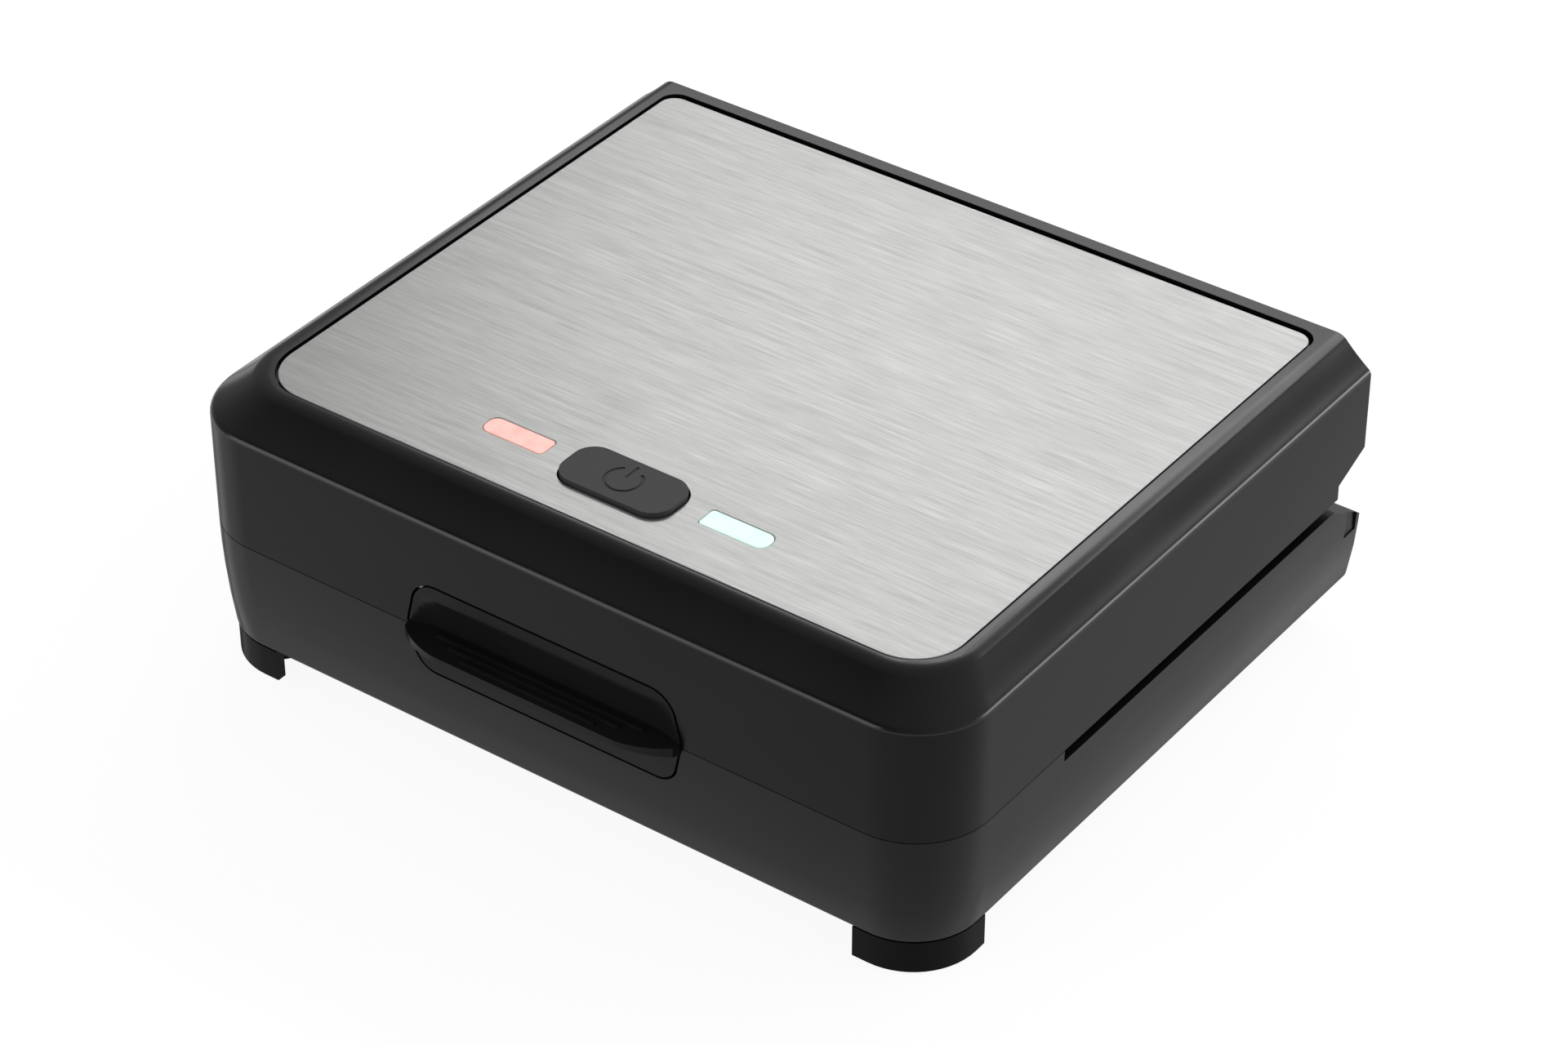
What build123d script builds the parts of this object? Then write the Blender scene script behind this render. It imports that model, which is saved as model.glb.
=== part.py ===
from build123d import *
import math
import os

os.makedirs("parts", exist_ok=True)

# Two-slice sandwich maker, millimetres. Origin: centre of the footprint on the table top,
# +X to the right, -Y to the front where the latch is, +Z up.

# Overall size
body_width = 252.0
base_depth = 210.6
lid_rear_step = 2.7
lip_reach = 9.0
rear_draw = 0.4
steel_top_z = 90.0
lid_bottom_z = 46.2
base_top_z = 46.0
base_bottom_z = 10.6
corner_radius = 23.0
rear_corner_radius = 2.0
lid_wall = 2.5
base_wall = 2.6

half_width = body_width / 2
beyond = body_width
y_front = lip_reach - (base_depth + lip_reach) / 2
y_back = y_front + base_depth + rear_draw
lid_y_back = y_back - lid_rear_step

# Slope and rim round the top of the lid
rim_rise = 0.4
side_slope = 11.75
front_slope = 15.2
rim_radius = 17.5
crease_rounding = 2.5
rim_rounding = 4.6
slope_angle_low = 37.0
slope_angle_high = 46.0
crown_reach = 1.0
rim_z = steel_top_z + rim_rise

# Steel plate on the lid
steel_side_gap = 15.0
steel_thickness = 0.8
steel_front_gap = 16.6
steel_rear_gap = 8.4
steel_front_radius = 15.0
steel_rear_radius = 5.0
moat_width = 0.8
moat_rear_width = 1.5
moat_depth = 2.4
steel_seat_inset = 0.8
steel_width = body_width - 2 * steel_side_gap
steel_y0 = y_front + steel_front_gap
steel_y1 = y_back - steel_rear_gap
seat_z = steel_top_z - steel_thickness

# Undercut at the back of the lid and the sloping deck at the back of the base
neck_y = y_back - 15.9
neck_top_z = 50.8
overhang_z = 56.6
deck_y = y_back - 17.1
deck_top_z = 42.0
deck_slope = 0.5548
notch_y = y_back - 9.3
notch_z = 28.6
notch_depth = 1.8
rear_wall = 3.3
slot_y0 = y_front + 57.6
slot_z = 42.5

# Power button and lamp windows
button_width = 36.0
button_depth = 17.6
button_radius = 6.4
button_y = y_front + 36.2
button_proud = 1.4
button_travel = 1.2
button_gap = 0.35
button_flange = 1.6
button_flange_thickness = 1.8
symbol_radius = 4.6
symbol_stroke = 0.9
symbol_depth = 0.35
lens_length = 21.0
lens_depth = 7.0
lens_x = 36.4
lens_y = y_front + 37.4
lens_outer_radius = 2.8
lens_inner_radius = 1.2
lens_flange = 1.5
lens_flange_thickness = 1.5
lens_gap = 0.15
lid_ceiling_drop = 3.8
lid_floor_z = steel_top_z - lid_ceiling_drop
window_z0 = lid_floor_z - 6.2
window_z1 = steel_top_z + 2.0

# Lamp board, switch and return spring
board_drop = 16.0
board_z = steel_top_z - board_drop
board_thickness = 1.6
board_width = 100.0
board_depth = 28.0
board_post_x = 46.0
board_post_dy = 10.0
board_post_radius = 3.0
switch_side = 6.4
switch_height = 3.6
plunger_radius = 1.8
plunger_height = 1.9
stem_radius = 3.0
stem_clearance = 0.3
spring_radius = 5.6
spring_wire = 0.35
spring_turns = 4
lamp_radius = 2.5

# Cooking plates
plate_side_gap = 16.0
plate_front_gap = 22.8
plate_rear_gap = 38.2
plate_flange = 3.2
plate_corner = 10.0
plate_gap = 1.0
pocket_rim = 8.0
pocket_height = 10.0
pocket_corner = 14.0
pocket_draft = 25.0
pan_thickness = 2.5
centre_ridge = 8.0
diagonal_base = 8.0
diagonal_top = 2.4
diagonal_height = 7.0
plate_width = body_width - 2 * plate_side_gap
plate_depth = y_back - y_front - plate_front_gap - plate_rear_gap
plate_centre_y = (y_front + plate_front_gap + y_back - plate_rear_gap) / 2
pocket_width = (plate_width - centre_ridge) / 2 - pocket_rim
pocket_depth = plate_depth - 2 * pocket_rim
lower_plate_top = base_top_z - 0.5
upper_plate_bottom = lower_plate_top + plate_gap
pocket_x = (pocket_width + centre_ridge) / 2

# Frames that carry the plates
frame_thickness = 3.0
frame_ledge = 4.0
frame_clearance = 0.3

# Heating elements, clamps and heat shields
element_radius = 3.2
element_clearance = 0.05
element_bend = 12.0
element_x_outer = pocket_x + 13.0
element_x_inner = 13.0
element_y_front = plate_centre_y - pocket_depth / 2 + 26.0
element_y_back = plate_centre_y + pocket_depth / 2 - 24.0
element_y_end = plate_centre_y + plate_depth / 2 + 7.0
pin_radius = 1.2
pin_length = 9.0
clamp_thickness = 1.0
clamp_width = 9.0
clamp_foot = 7.0
stud_radius = 4.0
stud_side_gap = 18.0
stud_end_gap = 45.0
stud_x = pocket_x - stud_side_gap
stud_y = pocket_depth / 2 - stud_end_gap
shield_thickness = 0.8
shield_side_gap = 4.0
shield_end_gap = 5.0
shield_width = plate_width - 2 * shield_side_gap
shield_depth = plate_depth - 2 * shield_end_gap
shield_wall = 14.0
lower_shield_z = 21.4
upper_shield_z = 70.4
shield_slot = 36.0

# Hinge
hinge_y = y_back - 9.4
hinge_z = 36.0
hinge_x = half_width - 56.0
hinge_pin_radius = 2.0
hinge_running_clearance = 0.06
pin_seat_clearance = 0.02
lug_width = 12.4
lug_radius = 5.5
lug_bar = 7.0
lug_side_gap = 0.4
pocket_wall = 2.4
hinge_pocket_y0 = hinge_y - 14.3
hinge_pocket_y1 = hinge_y + 6.2
hinge_pocket_z = hinge_z - 6.2

# Latch
latch_top_z = 61.4
latch_lip_z = 47.4
latch_bottom_z = 33.0
latch_half_top = 42.0
latch_half_lip = 45.4
latch_half_bottom = 42.2
latch_top_radius = 6.0
latch_bottom_radius = 5.0
latch_thickness = 3.2
latch_edge = 0.9
latch_gap = 0.7
lip_half_front = 37.0
lip_thickness = 3.4
lip_corner = 8.0
lip_rib_height = 0.5
lip_rib_width = 0.9
latch_pivot_down = 2.8
latch_pivot_in = 3.0
latch_pin_radius = 1.5
latch_pin_length = 103.0
barrel_radius = 2.6
barrel_x0 = 10.0
barrel_x1 = 35.0
scoop_radius = 20.0
scoop_depth = 2.6
hook_x = 22.0
hook_width = 8.0
hook_reach = 4.6
hook_z = 35.0
hook_height = 3.0
hook_clearance = 0.3
pocket_back_gap = 0.7
pocket_back_wall = 2.5
tail_x = 14.0
tail_width = 7.0
tail_y = y_front + 14.8
tail_thickness = 2.2
latch_spring_radius = 2.6
latch_spring_wire = 0.25
latch_spring_turns = 4
ear_width = 4.0

# Bottom cover, feet and cord bush
cover_thickness = 2.0
cover_z = base_bottom_z
cover_inset = 3.2
vent_length = 34.0
vent_width = 3.0
vent_pitch = 8.0
vent_count = 7
post_radius = 4.5
base_post_x = half_width - 14.0
lid_post_x = half_width - 10.0
post_front_y = y_front + 38.8
lid_post_front_y = y_front + 32.8
post_rear_y = y_back - 48.2
foot_inset = 2.9
foot_wall = 3.0
foot_span_x = 28.0
foot_span_y = 27.0
foot_bottom = 0.8
foot_web = 2.0
pad_radius = 7.5
pad_height = 4.0
pad_clearance = 0.1
cup_wall = 1.6
pad_offset_x = 17.0
pad_offset_y = 17.0
rear_pad_offset_x = 30.0
rear_foot_radius = 12.0
rear_foot_draw = 2.4
bush_x = hinge_x - 22.0
bush_z = 22.5
bush_bore = 3.6
bush_radius = 6.5
bush_flange_radius = 8.5
bush_flange = 2.0
bush_outer_step = 0.7
bush_inner_step = 5.6

# Thermostat and thermal fuse under the lower pans
thermostat_x = pocket_x - 25.0
thermostat_y = element_y_back - 11.5
thermostat_radius = 7.2
strap_gauge = 1.2
fuse_x = pocket_x - 31.0
fuse_y = thermostat_y - 2.5
fuse_radius = 2.0

# Terminal block beside the cord bush
block_x0 = bush_x - 30.0
block_width = 24.0
block_y0 = y_back - 31.2
block_depth = 12.0
block_height = 11.0
block_pitch = 7.0

# Screws
screw_radius = 1.5
screw_head_radius = 3.0
screw_head = 1.8
screw_clearance = 0.05


def block(x0, x1, y0, y1, z0, z1):
    """Box between two opposite corners."""
    size = Box(x1 - x0, y1 - y0, z1 - z0)
    return Pos((x0 + x1) / 2, (y0 + y1) / 2, (z0 + z1) / 2) * size


def disc(x, y, z0, z1, radius):
    """Upright cylinder."""
    return Pos(x, y, (z0 + z1) / 2) * Cylinder(radius, z1 - z0)


def rod_x(x0, x1, y, z, radius):
    """Cylinder along X."""
    return Pos((x0 + x1) / 2, y, z) * Rot(0, 90, 0) * Cylinder(radius, x1 - x0)


def rod_y(y0, y1, x, z, radius):
    """Cylinder along Y."""
    return Pos(x, (y0 + y1) / 2, z) * Rot(90, 0, 0) * Cylinder(radius, y1 - y0)


def plan(x_half, y0, y1, front_radius, rear_radius, z):
    """Rectangle with rounded front and rear corners, at height z."""
    face = Pos(0, (y0 + y1) / 2, z) * Rectangle(2 * x_half, y1 - y0)
    if front_radius > 0:
        face = fillet(face.vertices().sort_by(Axis.Y)[:2], front_radius)
    if rear_radius > 0:
        face = fillet(face.vertices().sort_by(Axis.Y)[-2:], rear_radius)
    return face


def rounded_slab(x, y, width, depth, z0, z1, radius):
    """Slab with four rounded upright edges."""
    face = Pos(x, y, z0) * RectangleRounded(width, depth, radius)
    return extrude(face, amount=z1 - z0)


def prism_yz(points, x0, x1):
    """Side profile in Y and Z, drawn out along X."""
    outline = Polyline(*[(x0, y, z) for y, z in points], close=True)
    return extrude(make_face(outline), amount=x1 - x0, dir=(1, 0, 0))


def prism_xz(face, y0, y1):
    """Front profile drawn on X and Z (as a face in XY), drawn out along Y."""
    upright = Pos(0, y0, 0) * Rot(90, 0, 0) * face
    return extrude(upright, amount=y1 - y0, dir=(0, 1, 0))


def keep_y(y0, y1):
    """Room for cutting away all that lies outside a range of Y."""
    return block(-beyond, beyond, y0, y1, -10, beyond)


def screw_up(x, y, z_head, length):
    """Screw driven upwards, its head's lower face at z_head."""
    head = disc(x, y, z_head, z_head + screw_head, screw_head_radius)
    return head + disc(x, y, z_head + screw_head, z_head + screw_head + length, screw_radius)


def screw_down(x, y, z_head, length):
    """Screw driven downwards, its head's upper face at z_head."""
    head = disc(x, y, z_head - screw_head, z_head, screw_head_radius)
    return head + disc(x, y, z_head - screw_head - length, z_head - screw_head, screw_radius)


# Outlines of the base at successive heights: how far the wall has drawn in
base_profile = [
    (base_top_z, 0.0),
    (38.0, 0.15),
    (30.0, 0.55),
    (22.0, 1.2),
    (14.5, 2.1),
    (base_bottom_z + 1.5, 2.4),
    (base_bottom_z + 0.5, 2.8),
    (base_bottom_z, 3.8),
]


def base_outline(inset, z):
    """Plan outline of the base at height z, drawn in by inset."""
    rear = max(rear_corner_radius - inset, 0.6)
    return plan(half_width - inset, y_front + inset, y_back - inset, corner_radius - inset, rear, z)


def base_body():
    """Base as a solid block, its walls drawing in towards the bottom."""
    sections = [base_outline(inset, z) for z, inset in base_profile]
    return loft(sections, ruled=True)


def base_hollow():
    """Room inside the walls of the base, open above and below."""
    sections = [base_outline(base_wall, base_top_z + 1)]
    for z, inset in base_profile[:-2]:
        sections.append(base_outline(inset + base_wall, z))
    sections.append(base_outline(2.4 + base_wall, base_bottom_z - 1))
    return loft(sections, ruled=True)


# Slope round the top of the lid, as distance in from the wall against height
def bend(points, radius, start, end, steps):
    """Adds an arc to the profile; start and end are its angles above the level."""
    u, w = points[-1]
    sense = 1 if start > end else -1
    for i in range(1, steps + 1):
        angle = math.radians(start + (end - start) * i / steps)
        first = math.radians(start)
        du = sense * radius * (math.sin(first) - math.sin(angle))
        dw = sense * radius * (math.cos(angle) - math.cos(first))
        points.append((u + du, w + dw))


def slope_profile():
    """Points from the wall over the rounded crease and the slope to the rim."""
    low, high = math.radians(slope_angle_low), math.radians(slope_angle_high)
    left = side_slope - crease_rounding * (1 - math.sin(low)) - rim_rounding * math.sin(high)
    hollow_radius = left / (math.sin(high) - math.sin(low))
    points = [(0.0, 0.0)]
    bend(points, crease_rounding, 90.0, slope_angle_low, 4)
    bend(points, hollow_radius, slope_angle_low, slope_angle_high, 4)
    bend(points, rim_rounding, slope_angle_high, 0.0, 6)
    return points


crease_z = rim_z - slope_profile()[-1][1]


def lid_outline(share, z, inset=0.0):
    """Plan outline of the lid at height z; share runs from wall (0) to rim (1)."""
    x_half = half_width - side_slope * share - inset
    y0 = y_front + front_slope * share + inset
    radius = corner_radius + (rim_radius - corner_radius) * share - inset
    return plan(x_half, y0, lid_y_back + 20, radius, 0, z)


def lid_body():
    """Lid as a solid block with the slope round its top."""
    sections = [lid_outline(0, lid_bottom_z)]
    for u, w in slope_profile():
        sections.append(lid_outline(u / side_slope, crease_z + w))
    return loft(sections, ruled=True) & keep_y(-beyond, lid_y_back)


def neck_cut():
    """Room cut away below the overhang at the back of the lid."""
    return prism_yz(
        [
            (neck_y, 30),
            (neck_y, neck_top_z),
            (lid_y_back, overhang_z),
            (lid_y_back + 10, overhang_z),
            (lid_y_back + 10, 30),
        ],
        -half_width - 5,
        half_width + 5,
    )


def neck_wall_line():
    """The undercut again, moved in by the wall thickness."""
    rise = (overhang_z - neck_top_z) / (lid_y_back - neck_y)
    lift = lid_wall * math.sqrt(1 + rise * rise)
    inner_y = neck_y - lid_wall
    z0 = neck_top_z + lift + (inner_y - neck_y) * rise
    z1 = neck_top_z + lift + (lid_y_back + 10 - neck_y) * rise
    return prism_yz(
        [(inner_y, 30), (inner_y, z0), (lid_y_back + 10, z1), (lid_y_back + 10, 30)],
        -half_width - 5,
        half_width + 5,
    )


def steel_outline(grow, z):
    """Outline of the steel plate, grown or drawn in."""
    return plan(
        steel_width / 2 + grow,
        steel_y0 - grow,
        steel_y1 + grow,
        steel_front_radius + grow,
        steel_rear_radius + grow,
        z,
    )


def button_slab(grow, z0, z1):
    """Button outline, grown by a gap, between two heights."""
    width = button_width + 2 * grow
    depth = button_depth + 2 * grow
    return rounded_slab(0, button_y, width, depth, z0, z1, button_radius + grow)


def lens_slab(side, grow, z0, z1):
    """Lamp window outline with a rounder outer end; side is -1 (left) or 1."""
    face = Rectangle(lens_length + 2 * grow, lens_depth + 2 * grow)
    outer = face.vertices().sort_by(Axis.X)[-2:]
    face = fillet(outer, lens_outer_radius + grow)
    inner = face.vertices().sort_by(Axis.X)[:2]
    face = fillet(inner, lens_inner_radius + grow)
    if side < 0:
        face = Rot(0, 0, 180) * face
    return extrude(Pos(side * lens_x, lens_y, z0) * face, amount=z1 - z0)


# Latch outline on the front wall, drawn as X against Z
def latch_outline(grow):
    """Front outline of the latch: widest at the lip, rounded at top and bottom."""
    corners = [
        (-latch_half_top - grow, latch_top_z + grow),
        (latch_half_top + grow, latch_top_z + grow),
        (latch_half_lip + grow, latch_lip_z),
        (latch_half_bottom + grow, latch_bottom_z - grow),
        (-latch_half_bottom - grow, latch_bottom_z - grow),
        (-latch_half_lip - grow, latch_lip_z),
    ]
    face = make_face(Polyline(*corners, close=True))
    upper = face.vertices().sort_by(Axis.Y)[-2:]
    face = fillet(upper, latch_top_radius + grow)
    lower = face.vertices().sort_by(Axis.Y)[:2]
    return fillet(lower, latch_bottom_radius + grow)


latch_pivot_y = y_front + latch_pivot_in
latch_pivot_z = latch_top_z - latch_pivot_down
screw_hole = screw_radius + screw_clearance
lid_posts = [(x, y) for x in (-lid_post_x, lid_post_x) for y in (lid_post_front_y, post_rear_y)]
base_posts = [(x, y) for x in (-base_post_x, base_post_x) for y in (post_front_y, post_rear_y)]
board_posts = [(x, button_y + y) for x in (-board_post_x, board_post_x) for y in (-board_post_dy, board_post_dy)]
upper_ring_z = upper_plate_bottom + plate_flange
lower_ring_z = lower_plate_top - plate_flange - frame_thickness
pan_under = lower_plate_top - pocket_height - pan_thickness


# Lid cover: one moulding with its posts, latch ears and steel seat
def make_lid_cover():
    whole = lid_body()
    body = whole - neck_cut()
    wall_room = plan(
        half_width - lid_wall,
        y_front + lid_wall,
        lid_y_back - lid_wall,
        corner_radius - lid_wall,
        1,
        lid_bottom_z - 1,
    )
    shoulder_z = crease_z - lid_wall / 3
    shoulder = plan(
        half_width - lid_wall,
        y_front + lid_wall,
        lid_y_back - lid_wall,
        corner_radius - lid_wall,
        1,
        shoulder_z,
    )
    crown = plan(
        half_width - side_slope + crown_reach,
        y_front + front_slope - crown_reach,
        lid_y_back - lid_wall,
        rim_radius - 4,
        1,
        lid_floor_z,
    )
    room = extrude(wall_room, amount=shoulder_z - lid_bottom_z + 1)
    room += loft([shoulder, crown], ruled=True)
    body -= room - neck_wall_line()
    moat_floor_z = rim_z - moat_depth
    moat = extrude(steel_outline(moat_width, moat_floor_z), amount=moat_depth + 1)
    rear_strip = plan(
        steel_width / 2 + moat_width,
        steel_y1 - 3 * steel_rear_radius,
        steel_y1 + moat_rear_width,
        0,
        steel_rear_radius + moat_width,
        moat_floor_z,
    )
    moat += extrude(rear_strip, amount=moat_depth + 1)
    seat = extrude(steel_outline(-steel_seat_inset, moat_floor_z), amount=seat_z - moat_floor_z)
    body -= moat - seat
    for x, y in lid_posts:
        post = disc(x, y, upper_ring_z + frame_thickness, lid_floor_z, post_radius)
        body += post & whole
        body -= disc(x, y, upper_ring_z, upper_ring_z + frame_thickness + 14, screw_hole)
    for x, y in board_posts:
        body += disc(x, y, board_z + board_thickness, lid_floor_z + 0.5, board_post_radius)
        body -= disc(x, y, board_z, board_z + board_thickness + 7, screw_hole)
    body -= button_slab(button_gap, window_z0, window_z1)
    for side in (-1, 1):
        body -= lens_slab(side, lens_gap, window_z0, window_z1)
    # Latch window, and the ears that hold its pin
    body -= prism_xz(latch_outline(latch_gap), y_front - 2, y_front + lid_wall + 2)
    pin_end = latch_pin_length / 2
    for side in (-1, 1):
        ear_x = side * (latch_half_lip + latch_gap + ear_width / 2 + 0.4)
        ear = block(
            ear_x - ear_width / 2,
            ear_x + ear_width / 2,
            y_front + lid_wall - 0.5,
            latch_pivot_y + 4,
            latch_pivot_z - 5,
            latch_pivot_z + 5,
        )
        body += ear
    body -= rod_x(-pin_end, pin_end, latch_pivot_y, latch_pivot_z, latch_pin_radius + pin_seat_clearance)
    # Gaps in the neck wall for the hinge arms
    for side in (-1, 1):
        x = side * hinge_x
        half = lug_width / 2 + lug_side_gap
        body -= block(x - half, x + half, neck_y - lid_wall - 1, neck_y + 1, 40, neck_top_z + 0.2)
    return body


# Steel plate: pressed from sheet, open for the button and the lamp windows
def make_steel_plate():
    plate = extrude(steel_outline(0, seat_z), amount=steel_thickness)
    plate -= button_slab(button_gap, window_z0, window_z1)
    for side in (-1, 1):
        plate -= lens_slab(side, lens_gap, window_z0, window_z1)
    rim = plate.faces().sort_by(Axis.Z)[-1].outer_wire().edges()
    return fillet(rim, 0.3)


# Button cap with its retaining flange, stem and engraved symbol
def make_button():
    top = steel_top_z + button_proud
    flange_top = lid_floor_z - 0.3
    flange_bottom = flange_top - button_flange_thickness
    cap = button_slab(0, flange_bottom, top)
    cap = fillet(cap.faces().sort_by(Axis.Z)[-1].edges(), 0.5)
    cap += button_slab(button_flange, flange_bottom, flange_top)
    stem_bottom = board_z + board_thickness + switch_height + plunger_height + button_travel + stem_clearance
    cap += disc(0, button_y, stem_bottom, flange_bottom, stem_radius)
    ring = Circle(symbol_radius + symbol_stroke / 2) - Circle(symbol_radius - symbol_stroke / 2)
    opening = Pos(0, symbol_radius) * Rectangle(symbol_stroke * 3.2, symbol_radius)
    bar = Pos(0, symbol_radius * 0.85) * Rectangle(symbol_stroke, symbol_radius * 1.1)
    symbol = (ring - opening) + bar
    cap -= extrude(Pos(0, button_y, top - symbol_depth) * symbol, amount=1)
    return cap


def make_lens(side):
    """Lamp window: clear moulding, flush with the steel, held by a flange below the floor."""
    flange_bottom = lid_floor_z - lens_flange_thickness
    lens = lens_slab(side, 0, flange_bottom, steel_top_z)
    return lens + lens_slab(side, lens_flange, flange_bottom, lid_floor_z)


def make_board():
    """Lamp and switch board, held up against four posts."""
    board = rounded_slab(0, button_y, board_width, board_depth, board_z, board_z + board_thickness, 2)
    for x, y in board_posts:
        board -= disc(x, y, board_z - 1, board_z + 3, screw_hole)
    return board


def make_lamps():
    """Two lamps with domed tops, one under each window."""
    base = board_z + board_thickness
    lamps = []
    for side in (-1, 1):
        lamp = disc(side * lens_x, lens_y, base, base + 5.5, lamp_radius)
        lamp += disc(side * lens_x, lens_y, base, base + 1, lamp_radius + 0.4)
        lamp = fillet(lamp.faces().sort_by(Axis.Z)[-1].edges(), 2.2)
        lamps.append(lamp)
    return lamps


def make_switch():
    """Push switch below the button."""
    base = board_z + board_thickness
    half = switch_side / 2
    body = block(-half, half, button_y - half, button_y + half, base, base + switch_height)
    return body + disc(0, button_y, base + switch_height, base + switch_height + plunger_height, plunger_radius)


def coil(x, y, z0, z1, radius, wire, turns):
    """Compression spring between two heights."""
    height = z1 - z0 - 2 * wire
    path = Helix(pitch=height / turns, height=height, radius=radius)
    section = Plane(origin=path @ 0, z_dir=path % 0) * Circle(wire)
    return Pos(x, y, z0 + wire) * sweep(section, path=path, is_frenet=True)


def make_button_spring():
    flange_bottom = lid_floor_z - 0.3 - button_flange_thickness
    return coil(0, button_y, board_z + board_thickness, flange_bottom, spring_radius, spring_wire, spring_turns)


# Latch: front panel, lip with ribs, pivot barrels, hooks and spring tails
def make_latch():
    panel = prism_xz(latch_outline(0), y_front, y_front + latch_thickness)
    panel = fillet(panel.faces().sort_by(Axis.Y)[0].outer_wire().edges(), latch_edge)
    seam_z = (lid_bottom_z + base_top_z) / 2
    lower = panel & block(-60, 60, -beyond, 0, 0, seam_z)
    lower = lower & base_body()
    upper = panel & block(-60, 60, -beyond, 0, seam_z, beyond)
    latch = lower + upper
    back_y = y_front + latch_thickness
    latch += block(-latch_half_top + 4, latch_half_top - 4, back_y - 1, back_y + 2.4, seam_z + 1, latch_top_z - 4)
    # Scoop for the fingers above the lip
    scoop_y = y_front - scoop_radius + scoop_depth
    rise = math.sqrt(scoop_radius**2 - (scoop_radius - scoop_depth) ** 2)
    half = latch_half_lip - rise - 1
    scoop = rod_x(-half, half, scoop_y, latch_lip_z, scoop_radius)
    for side in (-1, 1):
        scoop += Pos(side * half, scoop_y, latch_lip_z) * Sphere(scoop_radius)
    latch -= scoop & block(-60, 60, -beyond, 0, latch_lip_z, beyond)
    # Lip
    lip_y = y_front - lip_reach
    lip_points = [
        (-latch_half_lip, y_front + 1.0),
        (-latch_half_lip, y_front),
        (-latch_half_lip + 0.6, y_front - 2.5),
        (-lip_half_front, lip_y),
        (lip_half_front, lip_y),
        (latch_half_lip - 0.6, y_front - 2.5),
        (latch_half_lip, y_front),
        (latch_half_lip, y_front + 1.0),
    ]
    lip_face = make_face(Polyline(*lip_points, close=True))
    lip_face = fillet(lip_face.vertices().sort_by(Axis.Y)[:2], lip_corner)
    lip = extrude(Pos(0, 0, latch_lip_z - lip_thickness) * lip_face, amount=lip_thickness)
    under = prism_yz(
        [
            (lip_y - 1, latch_lip_z - lip_thickness - 1),
            (lip_y - 1, latch_lip_z - 1.6),
            (y_front, latch_lip_z - lip_thickness),
            (y_front, latch_lip_z - lip_thickness - 1),
        ],
        -60,
        60,
    )
    latch += lip - under
    rib_ys = [y_front - 1.4 - 2.7 * i for i in range(3)]
    rib_halves = [34.5 - 8.0 * i for i in range(3)]
    for rib_y, rib_half in zip(rib_ys, rib_halves):
        latch += block(
            -rib_half,
            rib_half,
            rib_y - lip_rib_width / 2,
            rib_y + lip_rib_width / 2,
            latch_lip_z - 0.4,
            latch_lip_z + lip_rib_height,
        )
    # Hooks that catch the base, barrels on the pin and tails that the springs push up
    for side in (-1, 1):
        x = side * hook_x
        half_hook = hook_width / 2
        latch += block(
            x - half_hook,
            x + half_hook,
            back_y - 1.6,
            back_y + hook_reach,
            hook_z,
            hook_z + hook_height,
        )
        x0 = min(side * barrel_x0, side * barrel_x1)
        x1 = max(side * barrel_x0, side * barrel_x1)
        latch += rod_x(x0, x1, latch_pivot_y, latch_pivot_z, barrel_radius)
        x = side * tail_x
        half_tail = tail_width / 2
        latch += block(
            x - half_tail,
            x + half_tail,
            latch_pivot_y,
            tail_y,
            latch_pivot_z,
            latch_pivot_z + tail_thickness,
        )
    bore = latch_pin_radius + hinge_running_clearance
    latch -= rod_x(-60, 60, latch_pivot_y, latch_pivot_z, bore)
    return latch


def make_latch_springs():
    """Two small springs under the latch tails."""
    floor = upper_ring_z + frame_thickness
    top = latch_pivot_z
    springs = []
    for side in (-1, 1):
        x = side * tail_x
        y = tail_y - latch_spring_radius - latch_spring_wire - 0.4
        springs.append(coil(x, y, floor, top, latch_spring_radius, latch_spring_wire, latch_spring_turns))
    return springs


# Frames: flat rings that the cooking plates are screwed to
def frame_ring(z0, opening_grow=0.0):
    """Ring from the casing wall in to the ledge under the plate flange."""
    ring = extrude(
        plan(
            half_width - lid_wall - frame_clearance - 0.4,
            y_front + lid_wall + frame_clearance + 0.4,
            neck_y - lid_wall - frame_clearance,
            corner_radius - lid_wall - frame_clearance - 0.4,
            1,
            z0,
        ),
        amount=frame_thickness,
    )
    width = plate_width - 2 * frame_ledge + opening_grow
    depth = plate_depth - 2 * frame_ledge + opening_grow
    ring -= rounded_slab(0, plate_centre_y, width, depth, z0 - 1, z0 + frame_thickness + 1, plate_corner - 2)
    return ring


plate_screw_spots = [
    (x, plate_centre_y + y)
    for x in (-plate_width / 2 + 2.2, plate_width / 2 - 2.2)
    for y in (-plate_depth / 4, plate_depth / 4)
]


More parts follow.
